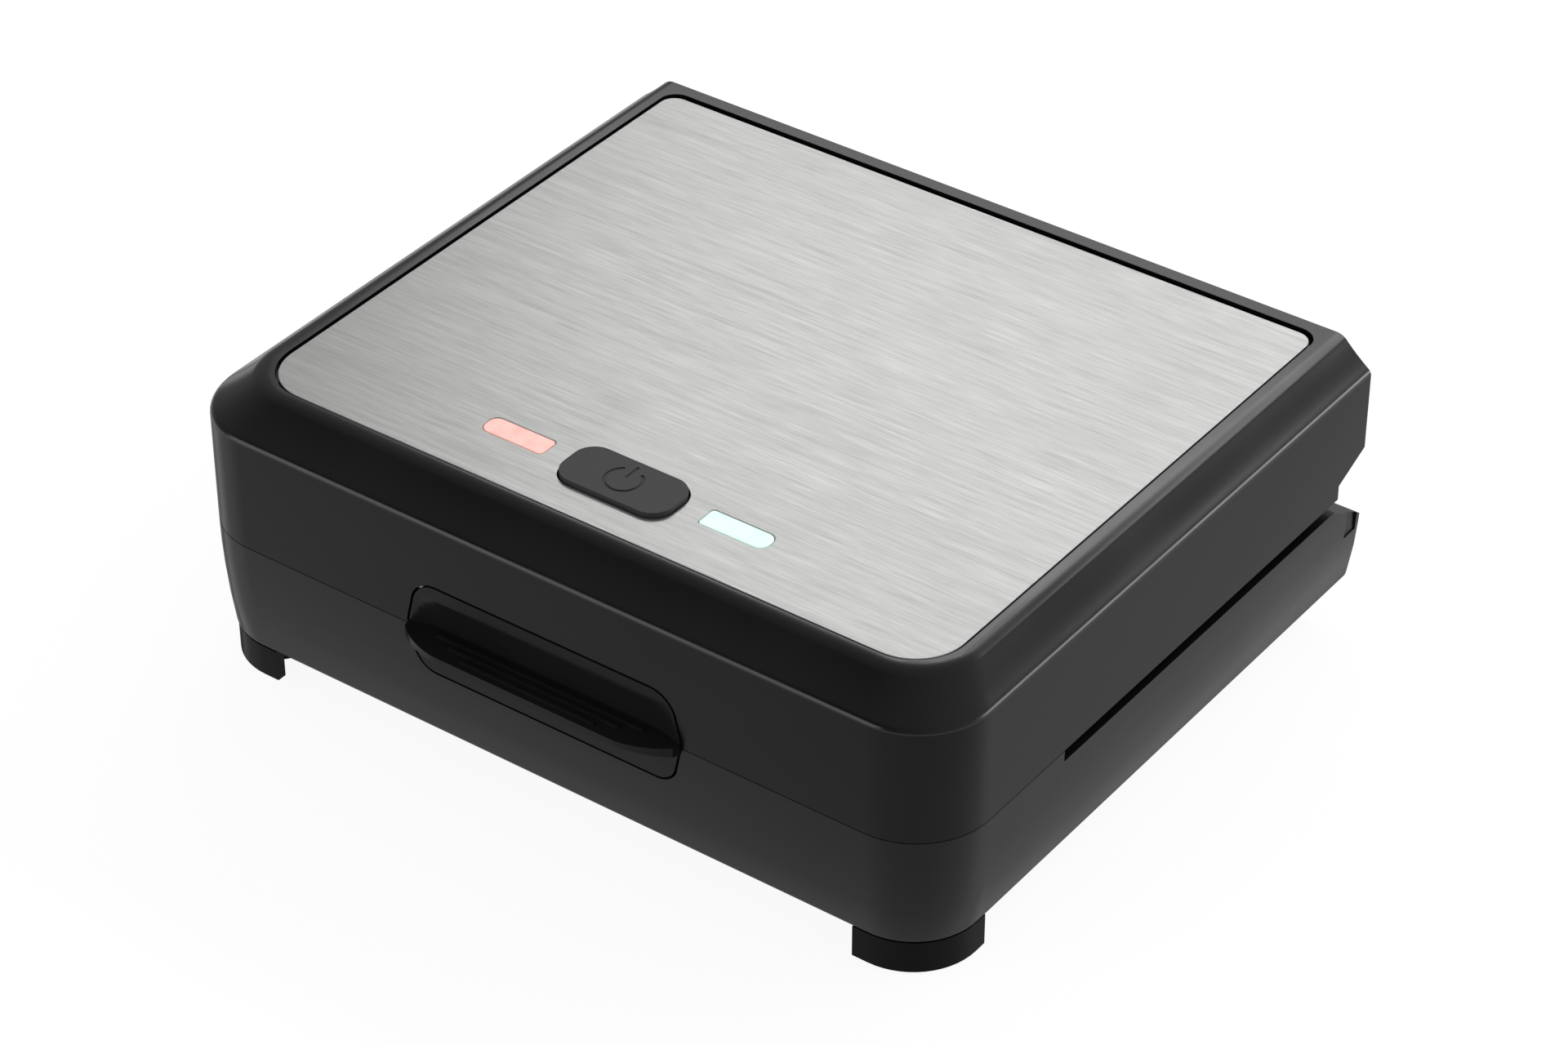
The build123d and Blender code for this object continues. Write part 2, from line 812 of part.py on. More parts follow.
def make_upper_frame():
    z0 = upper_ring_z
    z1 = z0 + frame_thickness
    frame = frame_ring(z0)
    # Room for the latch at the front
    latch_room = latch_half_lip + latch_gap + 1
    frame -= block(-latch_room, latch_room, -beyond, y_front + latch_thickness + 4.0, z0 - 1, z1 + 1)
    for x, y in lid_posts:
        frame -= disc(x, y, z0 - 1, z1 + 1, screw_hole)
    for x, y in plate_screw_spots:
        frame -= disc(x, y, z0 - 1, z1 + 1, screw_hole)
    # Hinge arms
    for side in (-1, 1):
        x = side * hinge_x
        half = lug_width / 2
        arm_y = neck_y - lid_wall - 6.5
        reach = lug_bar / 2 * math.sqrt(2)
        arm = prism_yz(
            [
                (arm_y, z1),
                (arm_y, z0),
                (hinge_y - 0.5, hinge_z - reach),
                (hinge_y + reach * 0.7, hinge_z + reach * 0.3),
                (neck_y - lid_wall - 0.4, neck_top_z - 0.4),
                (neck_y - lid_wall - 0.4, z1),
            ],
            x - half,
            x + half,
        )
        frame += arm
        frame += rod_x(x - half, x + half, hinge_y, hinge_z, lug_radius)
        bore = hinge_pin_radius + hinge_running_clearance
        frame -= rod_x(x - half - 1, x + half + 1, hinge_y, hinge_z, bore)
    return frame


def make_lower_frame():
    z0 = lower_ring_z
    z1 = z0 + frame_thickness
    frame = frame_ring(z0)
    latch_room = latch_half_lip + latch_gap + 3
    pocket_y = y_front + latch_thickness + pocket_back_gap + pocket_back_wall + 0.4
    frame -= block(-latch_room, latch_room, -beyond, pocket_y, z0 - 1, z1 + 1)
    for side in (-1, 1):
        x = side * hinge_x
        half = lug_width / 2 + lug_side_gap + pocket_wall + 0.4
        frame -= block(x - half, x + half, hinge_pocket_y0 - pocket_wall - 0.4, beyond, z0 - 1, z1 + 1)
    frame -= block(-beyond, beyond, deck_y - base_wall - 0.4, beyond, z0 - 1, z1 + 1)
    # Legs that stand on the bottom cover
    for x, y in base_posts:
        frame += disc(x, y, cover_z + cover_thickness, z0 + 0.5, post_radius)
        frame -= disc(x, y, cover_z, cover_z + cover_thickness + 14, screw_hole)
    for x, y in plate_screw_spots:
        frame -= disc(x, y, z0 - 1, z1 + 1, screw_hole)
    return frame


# Cooking plates: two drafted pockets, each split by a diagonal ridge
def pocket_solid(x, grow, floor_z, mouth_z):
    """Drafted pocket from its mouth to its floor."""
    mouth = Pos(x, plate_centre_y, mouth_z) * RectangleRounded(
        pocket_width + 2 * grow, pocket_depth + 2 * grow, pocket_corner + grow
    )
    draw = abs(mouth_z - floor_z) * math.tan(math.radians(pocket_draft))
    floor = Pos(x, plate_centre_y, floor_z) * RectangleRounded(
        pocket_width + 2 * grow - 2 * draw, pocket_depth + 2 * grow - 2 * draw, pocket_corner + grow - draw
    )
    return loft([mouth, floor], ruled=True)


def cooking_plate():
    """Lower plate with its top face at z = 0; the upper one is its mirror image."""
    plate = rounded_slab(0, plate_centre_y, plate_width, plate_depth, -plate_flange, 0, plate_corner)
    for side in (-1, 1):
        plate += pocket_solid(side * pocket_x, pan_thickness * 0.6, -pocket_height - pan_thickness, 0)
    angle = math.degrees(math.atan2(pocket_depth, pocket_width))
    for side in (-1, 1):
        x = side * pocket_x
        room = pocket_solid(x, 0, -pocket_height, 0)
        profile = make_face(
            Polyline(
                (0, -diagonal_base / 2, -pocket_height - 1),
                (0, diagonal_base / 2, -pocket_height - 1),
                (0, diagonal_top / 2, diagonal_height - pocket_height),
                (0, -diagonal_top / 2, diagonal_height - pocket_height),
                close=True,
            )
        )
        ridge = extrude(profile, amount=120, dir=(1, 0, 0), both=True)
        ridge = Pos(x, plate_centre_y, 0) * Rot(0, 0, side * angle) * ridge
        plate -= room - ridge
    # Studs under the pans for the clamps and the heat shield
    for x in (-stud_x, stud_x):
        for y in (-stud_y, stud_y):
            stud = disc(x, plate_centre_y + y, lower_shield_z + shield_thickness - lower_plate_top,
                        -pocket_height - pan_thickness + 0.5, stud_radius)
            stud -= disc(x, plate_centre_y + y, -40, -pocket_height - pan_thickness - 1, screw_hole)
            plate += stud
    for x, y in plate_screw_spots:
        plate -= disc(x, y, -plate_flange - 1, -plate_flange + 2.0, screw_hole)
    return plate


def flip(shape):
    """Lower-half piece, drawn with the plate face at z = 0, turned over for the lid."""
    return Pos(0, 0, upper_plate_bottom) * mirror(shape, about=Plane.XY)


def lower(shape):
    return Pos(0, 0, lower_plate_top) * shape


element_z = -pocket_height - pan_thickness - element_radius - element_clearance


# Heating element: one sheathed tube round under both pans, ends at the back
def heating_element():
    points = [
        (-element_x_inner, element_y_end, element_z),
        (-element_x_inner, element_y_back, element_z),
        (-element_x_outer, element_y_back, element_z),
        (-element_x_outer, element_y_front, element_z),
        (element_x_outer, element_y_front, element_z),
        (element_x_outer, element_y_back, element_z),
        (element_x_inner, element_y_back, element_z),
        (element_x_inner, element_y_end, element_z),
    ]
    path = FilletPolyline(*points, radius=element_bend)
    section = Plane(origin=points[0], z_dir=(0, -1, 0)) * Circle(element_radius)
    tube = sweep(section, path=path)
    for x in (-element_x_inner, element_x_inner):
        tube += rod_y(element_y_end - 1, element_y_end + pin_length, x, element_z, pin_radius)
    return tube


clamp_spots = [(-element_x_outer, 0.0), (element_x_outer, 0.0)]


def element_clamps():
    """Steel straps over the tube, one under each pan."""
    clamps = []
    low = element_z - element_radius - 0.1
    high = -pocket_height - pan_thickness
    for x, y in clamp_spots:
        half = element_radius + 0.3
        half_y = clamp_width / 2
        strap = block(x - half - clamp_thickness, x + half + clamp_thickness, y - half_y, y + half_y,
                      low - clamp_thickness, high)
        strap -= block(x - half, x + half, y - half_y - 1, y + half_y + 1, low, high + 1)
        for side in (-1, 1):
            inner = x + side * half
            outer = x + side * (half + clamp_thickness + clamp_foot)
            strap += block(min(inner, outer), max(inner, outer), y - half_y, y + half_y, high - clamp_thickness, high)
        strap -= block(x - half, x + half, y - half_y - 1, y + half_y + 1, low, high + 1)
        for side in (-1, 1):
            hole_x = x + side * (half + clamp_thickness + clamp_foot / 2)
            strap -= disc(hole_x, y, high - 3, high + 1, 1.1)
        clamps.append(strap)
    return clamps


def clamp_screws():
    """Small screws through the straps; their heads bear on the clamp feet."""
    screws = []
    high = -pocket_height - pan_thickness - clamp_thickness
    for x, y in clamp_spots:
        for side in (-1, 1):
            hole_x = x + side * (element_radius + 0.3 + clamp_thickness + clamp_foot / 2)
            screws.append(disc(hole_x, y, high - 1.2, high, 2.0) + disc(hole_x, y, high, high + clamp_thickness - 0.02, 1.05))
    return screws


def heat_shield(floor_z):
    """Pressed tray, its floor at floor_z, with a slot at the back for the element's ends."""
    top = floor_z + shield_wall
    outer = rounded_slab(0, plate_centre_y, shield_width, shield_depth, floor_z, top, 8)
    room = rounded_slab(
        0,
        plate_centre_y,
        shield_width - 2 * shield_thickness,
        shield_depth - 2 * shield_thickness,
        floor_z + shield_thickness,
        top + 1,
        8 - shield_thickness,
    )
    tray = outer - room
    rear = plate_centre_y + shield_depth / 2
    tray -= block(-shield_slot / 2, shield_slot / 2, rear - 3, rear + 3, floor_z + 3, top + 1)
    for x in (-stud_x, stud_x):
        for y in (-stud_y, stud_y):
            tray -= disc(x, plate_centre_y + y, floor_z - 1, floor_z + 2, screw_hole)
    return tray


def shield_screws(floor_z):
    screws = []
    for x in (-stud_x, stud_x):
        for y in (-stud_y, stud_y):
            screws.append(screw_up(x, plate_centre_y + y, floor_z - screw_head, 7))
    return screws


shield_floor = lower_shield_z - lower_plate_top


# Base shell: walls, rear deck, hinge pockets and latch pocket
def make_base_shell():
    body = base_body()
    room = base_hollow()
    far = y_back + 20
    near = deck_y - base_wall
    drop = base_wall * math.sqrt(1 + deck_slope**2)
    deck_keep = prism_yz(
        [
            (near, base_top_z + 5),
            (near, deck_top_z - drop),
            (deck_y, deck_top_z - drop),
            (far, deck_top_z - drop - (far - deck_y) * deck_slope),
            (far, base_top_z + 5),
        ],
        -half_width - 5,
        half_width + 5,
    )
    body -= room - deck_keep
    deck_cut = prism_yz(
        [
            (deck_y, base_top_z + 5),
            (deck_y, deck_top_z),
            (far, deck_top_z - (far - deck_y) * deck_slope),
            (far, base_top_z + 5),
        ],
        -half_width - 5,
        half_width + 5,
    )
    body -= deck_cut
    # Side walls stand lower beside the plates, which leaves the slot
    body -= block(-beyond, beyond, slot_y0, beyond, slot_z, base_top_z + 5) - block(
        -half_width + 8, half_width - 8, deck_y - base_wall - 0.01, beyond, 0, beyond
    )
    # Hinge pockets with their walls
    for side in (-1, 1):
        x = side * hinge_x
        half = lug_width / 2 + lug_side_gap
        outer = half + pocket_wall
        shell = block(
            x - outer,
            x + outer,
            hinge_pocket_y0 - pocket_wall,
            y_back - 2.5,
            hinge_pocket_z - pocket_wall,
            slot_z - 0.2,
        )
        body += shell - deck_cut
        body -= block(x - half, x + half, hinge_pocket_y0, hinge_pocket_y1, hinge_pocket_z, 100)
        bore = hinge_pin_radius + pin_seat_clearance
        body -= rod_x(x - outer - 1, x + outer + 1, hinge_y, hinge_z, bore)
    # Small recess at each rear corner
    for side in (-1, 1):
        x0 = side * (half_width - notch_depth)
        x1 = side * (half_width + 5)
        body -= block(min(x0, x1), max(x0, x1), notch_y, y_back - rear_wall, notch_z, 100)
    # Latch pocket, closed behind, with windows for the hooks
    outline = latch_outline(latch_gap)
    pocket_floor = y_front + latch_thickness + pocket_back_gap
    half = latch_half_lip + latch_gap + 2.5
    back = block(-half, half, y_front + 1, pocket_floor + pocket_back_wall, latch_bottom_z - 3, slot_z - 0.5)
    body += back
    body -= prism_xz(outline, y_front - 5, pocket_floor)
    for side in (-1, 1):
        x = side * hook_x
        half_window = hook_width / 2 + 1
        body -= block(
            x - half_window,
            x + half_window,
            pocket_floor - 1,
            pocket_floor + pocket_back_wall + 1,
            hook_z - 1.5,
            hook_z + hook_height + hook_clearance,
        )
    # Hole for the cord bush
    body -= rod_y(y_back - 12, y_back + 5, bush_x, bush_z, bush_radius + 0.02)
    return body


def make_hinge_pin(side):
    half = lug_width / 2 + lug_side_gap + pocket_wall - 0.2
    pin = rod_x(side * hinge_x - half, side * hinge_x + half, hinge_y, hinge_z, hinge_pin_radius)
    return chamfer(pin.edges().filter_by(GeomType.CIRCLE), 0.3)


def make_latch_pin():
    half = latch_pin_length / 2 - 0.1
    pin = rod_x(-half, half, latch_pivot_y, latch_pivot_z, latch_pin_radius)
    return chamfer(pin.edges().filter_by(GeomType.CIRCLE), 0.2)


# Bottom cover with air slots and countersunk screw holes
def make_bottom_cover():
    face = base_outline(2.4 + base_wall + 0.3, cover_z)
    cover = extrude(face, amount=cover_thickness)
    for side in (-1, 1):
        for i in range(vent_count):
            y = plate_centre_y + (i - (vent_count - 1) / 2) * vent_pitch
            slot = Pos(side * 52, y, cover_z - 1) * SlotOverall(vent_length, vent_width)
            cover -= extrude(slot, amount=cover_thickness + 2)
    feet = [(pad_x(side, end), pad_y(end)) for side in (-1, 1) for end in (-1, 1)]
    for x, y in base_posts + feet:
        cover -= disc(x, y, cover_z - 1, cover_z + 5, screw_hole)
    return cover


# Feet: curved skirts at the front corners, round feet set further in at the rear, each with a
# cup for the rubber pad
def pad_x(side, end):
    """Centre of a foot pad in X; side is -1 for the left, end is -1 for the front."""
    return side * (half_width - (pad_offset_x if end < 0 else rear_pad_offset_x))


def pad_y(end):
    """Centre of a foot pad in Y; end is -1 for the front."""
    return y_front + pad_offset_y if end < 0 else y_back - pad_offset_y


def foot_solid(side, end):
    """Foot at one corner; side is -1 or 1 in X, end is -1 for the front."""
    x_out = side * half_width
    x_in = side * (half_width - foot_span_x)
    y_out = y_front if end < 0 else y_back
    y_in = y_out - end * foot_span_y
    corner = block(min(x_in, x_out), max(x_in, x_out), min(y_in, y_out), max(y_in, y_out), -5, 60)
    outer = extrude(base_outline(foot_inset, foot_bottom), amount=base_bottom_z - foot_bottom)
    inner = extrude(base_outline(foot_inset + foot_wall, foot_bottom - 1), amount=base_bottom_z - foot_bottom + 1 - foot_web)
    foot = (outer - inner) & corner
    x = pad_x(side, end)
    y = pad_y(end)
    if end < 0:
        cup = disc(x, y, foot_bottom + 0.6, base_bottom_z - foot_web + 0.5, pad_radius + cup_wall)
        foot += cup & corner
    else:
        height = base_bottom_z - foot_bottom
        cone = Cone(rear_foot_radius - rear_foot_draw, rear_foot_radius, height)
        foot = Pos(x, y, foot_bottom + height / 2) * cone
    foot -= disc(x, y, 0, pad_height, pad_radius + pad_clearance)
    foot -= disc(x, y, 0, pad_height + screw_head + 0.2, screw_head_radius + 0.1)
    return foot - disc(x, y, 0, base_bottom_z + 1, screw_hole)


def pad_solid(side, end):
    x = pad_x(side, end)
    y = pad_y(end)
    pad = disc(x, y, 0, pad_height, pad_radius)
    return fillet(pad.faces().sort_by(Axis.Z)[0].edges(), 0.6)


def foot_screws():
    """Screw up through each foot into the bottom cover, hidden by the pad."""
    head_z = pad_height + 0.2
    length = cover_z + cover_thickness - head_z - screw_head
    spots = [(pad_x(side, end), pad_y(end)) for side in (-1, 1) for end in (-1, 1)]
    return [screw_up(x, y, head_z, length) for x, y in spots]


def make_cord_bush():
    """Rubber bush in the rear wall, open for a cord."""
    outer = y_back - bush_outer_step
    inner = y_back - bush_inner_step
    bush = rod_y(inner - 0.5, outer, bush_x, bush_z, bush_radius)
    bush += rod_y(inner - bush_flange, inner, bush_x, bush_z, bush_flange_radius)
    return bush - rod_y(inner - bush_flange - 1, outer + 1, bush_x, bush_z, bush_bore)


def terminal_xs():
    """Places of the three screws along the terminal block."""
    middle = block_x0 + block_width / 2
    return [middle + i * block_pitch for i in (-1, 0, 1)]


def make_terminal_block():
    """Ceramic block on the bottom cover with three clamp screws."""
    z0 = cover_z + cover_thickness
    y = block_y0 + block_depth / 2
    body = block(block_x0, block_x0 + block_width, block_y0, block_y0 + block_depth, z0, z0 + block_height)
    for x in terminal_xs():
        body -= disc(x, y, z0 + 6, z0 + block_height + 1, 2.2)
        body -= rod_y(block_y0 - 1, block_y0 + block_depth + 1, x, z0 + 4, 1.6)
    return body


def make_terminal_screws():
    z0 = cover_z + cover_thickness
    y = block_y0 + block_depth / 2
    return [disc(x, y, z0 + 6, z0 + 9.5, 2.1) for x in terminal_xs()]


def make_thermostat():
    """Bimetal thermostat against the underside of the lower right pan."""
    body = disc(thermostat_x, thermostat_y, pan_under - 6.5, pan_under, thermostat_radius)
    body += disc(thermostat_x, thermostat_y, pan_under - 8.2, pan_under - 6, thermostat_radius - 2)
    return body


def make_thermostat_bracket():
    """Cranked strap that presses the thermostat against the pan."""
    y0 = thermostat_y - 3.5
    y1 = thermostat_y + 3.5
    x_leg = thermostat_x - thermostat_radius - 2.6
    strap = block(x_leg - strap_gauge, thermostat_x + 6, y0, y1, pan_under - 8.2 - strap_gauge, pan_under - 8.2)
    strap += block(x_leg - strap_gauge, x_leg, y0, y1, pan_under - 8.2 - strap_gauge, pan_under)
    strap += block(x_leg - 7, x_leg, y0, y1, pan_under - strap_gauge, pan_under)
    return strap


def make_thermal_fuse():
    """Sealed thermal fuse under the lower left pan, with its two leads."""
    z = pan_under - fuse_radius - 0.1
    fuse = rod_x(-fuse_x - 6, -fuse_x + 6, fuse_y, z, fuse_radius)
    return fuse + rod_x(-fuse_x - 13, -fuse_x + 13, fuse_y, z, 0.6)


def make_fuse_clip():
    """Spring clip round the thermal fuse."""
    half = fuse_radius + 0.1
    low = pan_under - 2 * fuse_radius - 0.2
    x0 = -fuse_x - 3
    x1 = -fuse_x + 3
    clip = block(x0, x1, fuse_y - half - 0.8, fuse_y + half + 0.8, low - 0.8, pan_under)
    clip += block(x0, x1, fuse_y - half - 5, fuse_y + half + 5, pan_under - 0.8, pan_under)
    return clip - block(x0 - 1, x1 + 1, fuse_y - half, fuse_y + half, low, pan_under + 1)


# Every piece under its own name
lower_plate = lower(cooking_plate())
upper_plate = flip(cooking_plate())
base_screws = [screw_up(x, y, cover_z - screw_head, 12) for x, y in base_posts]
lid_screws = [screw_up(x, y, upper_ring_z - screw_head, 14) for x, y in lid_posts]
board_screws = [screw_up(x, y, board_z - screw_head, 7) for x, y in board_posts]
lower_plate_screws = [screw_up(x, y, lower_ring_z - screw_head, frame_thickness + 1.8) for x, y in plate_screw_spots]
upper_plate_screws = [
    screw_down(x, y, upper_ring_z + frame_thickness + screw_head, frame_thickness + 1.8) for x, y in plate_screw_spots
]

nodes = {
    "lid_cover": make_lid_cover(),
    "steel_top_plate": make_steel_plate(),
    "power_button": make_button(),
    "red_lens": make_lens(-1),
    "green_lens": make_lens(1),
    "lamp_board": make_board(),
    "signal_lamps": make_lamps(),
    "push_switch": make_switch(),
    "button_spring": make_button_spring(),
    "board_screws": board_screws,
    "latch": make_latch(),
    "latch_pin": make_latch_pin(),
    "latch_springs": make_latch_springs(),
    "upper_frame": make_upper_frame(),
    "upper_cooking_plate": upper_plate,
    "upper_plate_screws": upper_plate_screws,
    "upper_heating_element": flip(heating_element()),
    "upper_element_clamps": [flip(c) for c in element_clamps()],
    "upper_clamp_screws": [flip(c) for c in clamp_screws()],
    "upper_heat_shield": flip(heat_shield(shield_floor)),
    "upper_shield_screws": [flip(c) for c in shield_screws(shield_floor)],
    "lid_screws": lid_screws,
    "base_shell": make_base_shell(),
    "lower_frame": make_lower_frame(),
    "lower_cooking_plate": lower_plate,
    "lower_plate_screws": lower_plate_screws,
    "lower_heating_element": lower(heating_element()),
    "lower_element_clamps": [lower(c) for c in element_clamps()],
    "lower_clamp_screws": [lower(c) for c in clamp_screws()],
    "lower_heat_shield": lower(heat_shield(shield_floor)),
    "lower_shield_screws": [lower(c) for c in shield_screws(shield_floor)],
    "hinge_pin_left": make_hinge_pin(-1),
    "hinge_pin_right": make_hinge_pin(1),
    "bottom_cover": make_bottom_cover(),
    "base_screws": base_screws,
    "foot_front_left": foot_solid(-1, -1),
    "foot_front_right": foot_solid(1, -1),
    "foot_rear_left": foot_solid(-1, 1),
    "foot_rear_right": foot_solid(1, 1),
    "foot_screws": foot_screws(),
    "foot_pads": [pad_solid(side, end) for side in (-1, 1) for end in (-1, 1)],
    "cord_bush": make_cord_bush(),
    "terminal_block": make_terminal_block(),
    "terminal_screws": make_terminal_screws(),
    "thermostat": make_thermostat(),
    "thermostat_bracket": make_thermostat_bracket(),
    "thermal_fuse": make_thermal_fuse(),
    "fuse_clip": make_fuse_clip(),
}

for name, shape in nodes.items():
    if isinstance(shape, list):
        shape = Compound(children=shape)
    export_step(shape, f"parts/{name}.step")
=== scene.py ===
import bmesh
import bpy
import math
from mathutils import Matrix, Vector


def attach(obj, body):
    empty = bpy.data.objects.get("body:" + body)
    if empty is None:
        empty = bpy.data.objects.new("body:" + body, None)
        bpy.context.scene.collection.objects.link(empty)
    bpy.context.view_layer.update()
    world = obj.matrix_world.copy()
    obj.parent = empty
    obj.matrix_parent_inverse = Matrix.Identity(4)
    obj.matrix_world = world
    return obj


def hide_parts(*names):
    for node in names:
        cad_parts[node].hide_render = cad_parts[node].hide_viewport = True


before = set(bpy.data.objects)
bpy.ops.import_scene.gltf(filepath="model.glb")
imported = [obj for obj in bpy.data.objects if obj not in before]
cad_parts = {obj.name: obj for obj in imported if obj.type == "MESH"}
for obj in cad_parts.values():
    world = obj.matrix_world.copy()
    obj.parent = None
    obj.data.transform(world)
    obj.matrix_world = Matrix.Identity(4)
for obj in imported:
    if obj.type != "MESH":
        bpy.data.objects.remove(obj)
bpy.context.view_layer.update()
scene = bpy.context.scene
scene.view_settings.view_transform = "Standard"


# Camera: stands to the front right, a little over a metre away, and looks down at the lid
# through a long lens.
LOOK_ALONG = Vector((-0.4779, 0.6545, -0.5859))
camera_data = bpy.data.cameras.new("camera")
camera_data.sensor_width = 36.0
camera_data.lens = 105.76
camera = bpy.data.objects.new("camera", camera_data)
camera.location = (0.6140, -0.8342, 0.7886)
camera.rotation_euler = LOOK_ALONG.to_track_quat("-Z", "Y").to_euler()
scene.collection.objects.link(camera)
scene.camera = camera


# Studio: a white table top without an edge in view, under a soft sky that is brighter behind the
# object than before it. A long thin bank of light hangs behind it, a low strip stands behind it to
# the right, and a larger one stands low at its front left.
TABLE_REACH = 8.0
BRIGHT_SIDE = (0.45, 0.80, -0.40)
SKY_LEVELS = ((0.02, 0.06), (0.12, 0.25), (0.35, 0.40), (0.75, 0.60))
LIT_POINT = (0, 0, 0.08)


def linear(code):
    """Linear colour of an sRGB hex code."""
    levels = [int(code[i:i + 2], 16) / 255 for i in (1, 3, 5)]
    return [v / 12.92 if v <= 0.04045 else ((v + 0.055) / 1.055) ** 2.4 for v in levels] + [1.0]


def add(tree, kind, inputs=None, stops=(), **settings):
    """Adds a shader node, sets its options and colour stops, and sets or links its inputs."""
    node = tree.nodes.new("ShaderNode" + kind)
    for name, value in settings.items():
        setattr(node, name, value)
    for name, value in (inputs or {}).items():
        if isinstance(value, bpy.types.NodeSocket):
            tree.links.new(value, node.inputs[name])
        else:
            node.inputs[name].default_value = value
    if stops:
        band = node.color_ramp.elements
        band.remove(band[1])
        band[0].position, band[0].color = stops[0]
        for position, colour in stops[1:]:
            band.new(position).color = colour
    return node


def greys(levels):
    """Colour stops from pairs of position and grey level."""
    return [(position, [level] * 3 + [1.0]) for position, level in levels]


def new_material(name):
    """Material with an empty node tree, and that tree."""
    material = bpy.data.materials.new(name)
    material.use_nodes = True
    material.node_tree.nodes.clear()
    return material, material.node_tree


def object_from(mesh, name):
    """Object that holds a finished bmesh."""
    data = bpy.data.meshes.new(name)
    mesh.to_mesh(data)
    mesh.free()
    made = bpy.data.objects.new(name, data)
    scene.collection.objects.link(made)
    return made


def seen_directly(tree):
    """1 for what is seen straight, in a reflection or through glass, and 0 for light on a matt face."""
    path = add(tree, "LightPath")
    seen = path.outputs["Is Camera Ray"]
    for ray in ("Is Glossy Ray", "Is Transmission Ray"):
        seen = add(tree, "Math", {0: seen, 1: path.outputs[ray]}, operation="MAXIMUM").outputs[0]
    return seen


def softbox(name, place, width, height, watts):
    """Rectangular lamp behind cloth, turned towards the middle of the object."""
    lamp = bpy.data.lights.new(name, "AREA")
    lamp.shape = "RECTANGLE"
    lamp.size = width
    lamp.size_y = height
    lamp.energy = watts
    body = bpy.data.objects.new(name, lamp)
    body.location = place
    body.rotation_euler = (Vector(LIT_POINT) - Vector(place)).to_track_quat("-Z", "Y").to_euler()
    scene.collection.objects.link(body)


# Matt laminate: it lights the object as a pale grey one would, and shows white with a faint shadow
table_laminate, tree = new_material("white_table_laminate")
matt = add(tree, "BsdfDiffuse", {"Color": linear("#B4B4B4")})
dim_matt = add(tree, "BsdfDiffuse", {"Color": linear("#6A6A6A")})
lift = add(tree, "Emission", {"Color": linear("#FFFFFF"), "Strength": 0.92})
lifted = add(tree, "AddShader", {0: dim_matt.outputs[0], 1: lift.outputs[0]})
chosen = add(tree, "MixShader", {0: seen_directly(tree), 1: matt.outputs[0], 2: lifted.outputs[0]})
add(tree, "OutputMaterial", {"Surface": chosen.outputs[0]})

mesh = bmesh.new()
bmesh.ops.create_grid(mesh, x_segments=1, y_segments=1, size=TABLE_REACH)
table = object_from(mesh, "table")
table.data.materials.append(table_laminate)

world = bpy.data.worlds.new("studio_sky")
scene.world = world
world.use_nodes = True
tree = world.node_tree
tree.nodes.clear()
direction = add(tree, "TexCoord")
behind = add(tree, "VectorMath", {0: direction.outputs["Generated"], 1: BRIGHT_SIDE},
             operation="DOT_PRODUCT")
behind = add(tree, "MapRange", {"Value": behind.outputs["Value"], "From Min": -1.0, "From Max": 1.0})
sky = add(tree, "ValToRGB", {0: behind.outputs[0]}, greys(SKY_LEVELS))
lighting = add(tree, "Background", {"Color": sky.outputs[0], "Strength": 1.0})
add(tree, "OutputWorld", {"Surface": lighting.outputs[0]})

softbox("rear_bank", (-0.10, 1.60, 1.45), 2.7, 0.36, 14)
softbox("rear_right_strip", (1.65, 1.45, 0.42), 1.5, 0.7, 18)
softbox("front_left_strip", (-1.0, -1.80, 0.58), 1.8, 1.1, 15)


# Lid cover: one black ABS moulding, upright below and hollowed to a cove round the steel.
# It comes from a spark-eroded tool with a fine satin grain, and its edges are barely rounded.
MM = 0.001
HALF_WIDTH = 126.0
FRONT = -100.8
BACK = 110.2
LID_BACK = 107.5
LID_BOTTOM = 46.2
RIM = 90.4
WALL = 2.5
FRONT_CORNER = 23.0
REAR_CORNER = 1.4
CORNER_LOSS = 5.5
MERGE_DISTANCE = 0.01
FLAT_ANGLE = 0.6
FLOW_WIDTH = 45.45
# Cutters end at these places, clear of what they cut
PAST_SIDE = 131.0
PAST_BACK = 130.0
BELOW_LID = 40.0
BELOW_TOP = 80.0
ABOVE_LID = 95.0


def round_corners(mesh, corners, radius, steps):
    """Rounds corners of a flat line or face by a radius in millimetres."""
    return bmesh.ops.bevel(mesh, geom=corners, offset=radius * MM, offset_type="OFFSET",
                           affect="VERTICES", segments=steps, profile=0.5, material=-1)


def outline(mesh, x_half, y0, y1, front_radius, rear_radius, z):
    """Closed line at height z in millimetres, with its front and rear corners rounded."""
    places = ((-x_half, y0), (x_half, y0), (x_half, y1), (-x_half, y1))
    corners = [mesh.verts.new((x * MM, y * MM, z * MM)) for x, y in places]
    line = set(corners)
    for i in range(4):
        mesh.edges.new((corners[i - 1], corners[i]))
    for pair, radius in ((corners[:2], front_radius), (corners[2:], rear_radius)):
        line |= set(round_corners(mesh, pair, radius, 14)["verts"])
    line = {v for v in line if v.is_valid}
    return [e for e in mesh.edges if e.verts[0] in line and e.verts[1] in line]


def stacked(name, lines):
    """Solid skinned over a row of outlines, each given by its sizes, and closed at both ends."""
    mesh = bmesh.new()
    rings = [outline(mesh, *sizes) for sizes in lines]
    for lower, upper in zip(rings, rings[1:]):
        bmesh.ops.bridge_loops(mesh, edges=lower + upper)
    for end in (rings[0], rings[-1]):
        bmesh.ops.edgeloop_fill(mesh, edges=end)
    bmesh.ops.recalc_face_normals(mesh, faces=mesh.faces)
    return object_from(mesh, name)


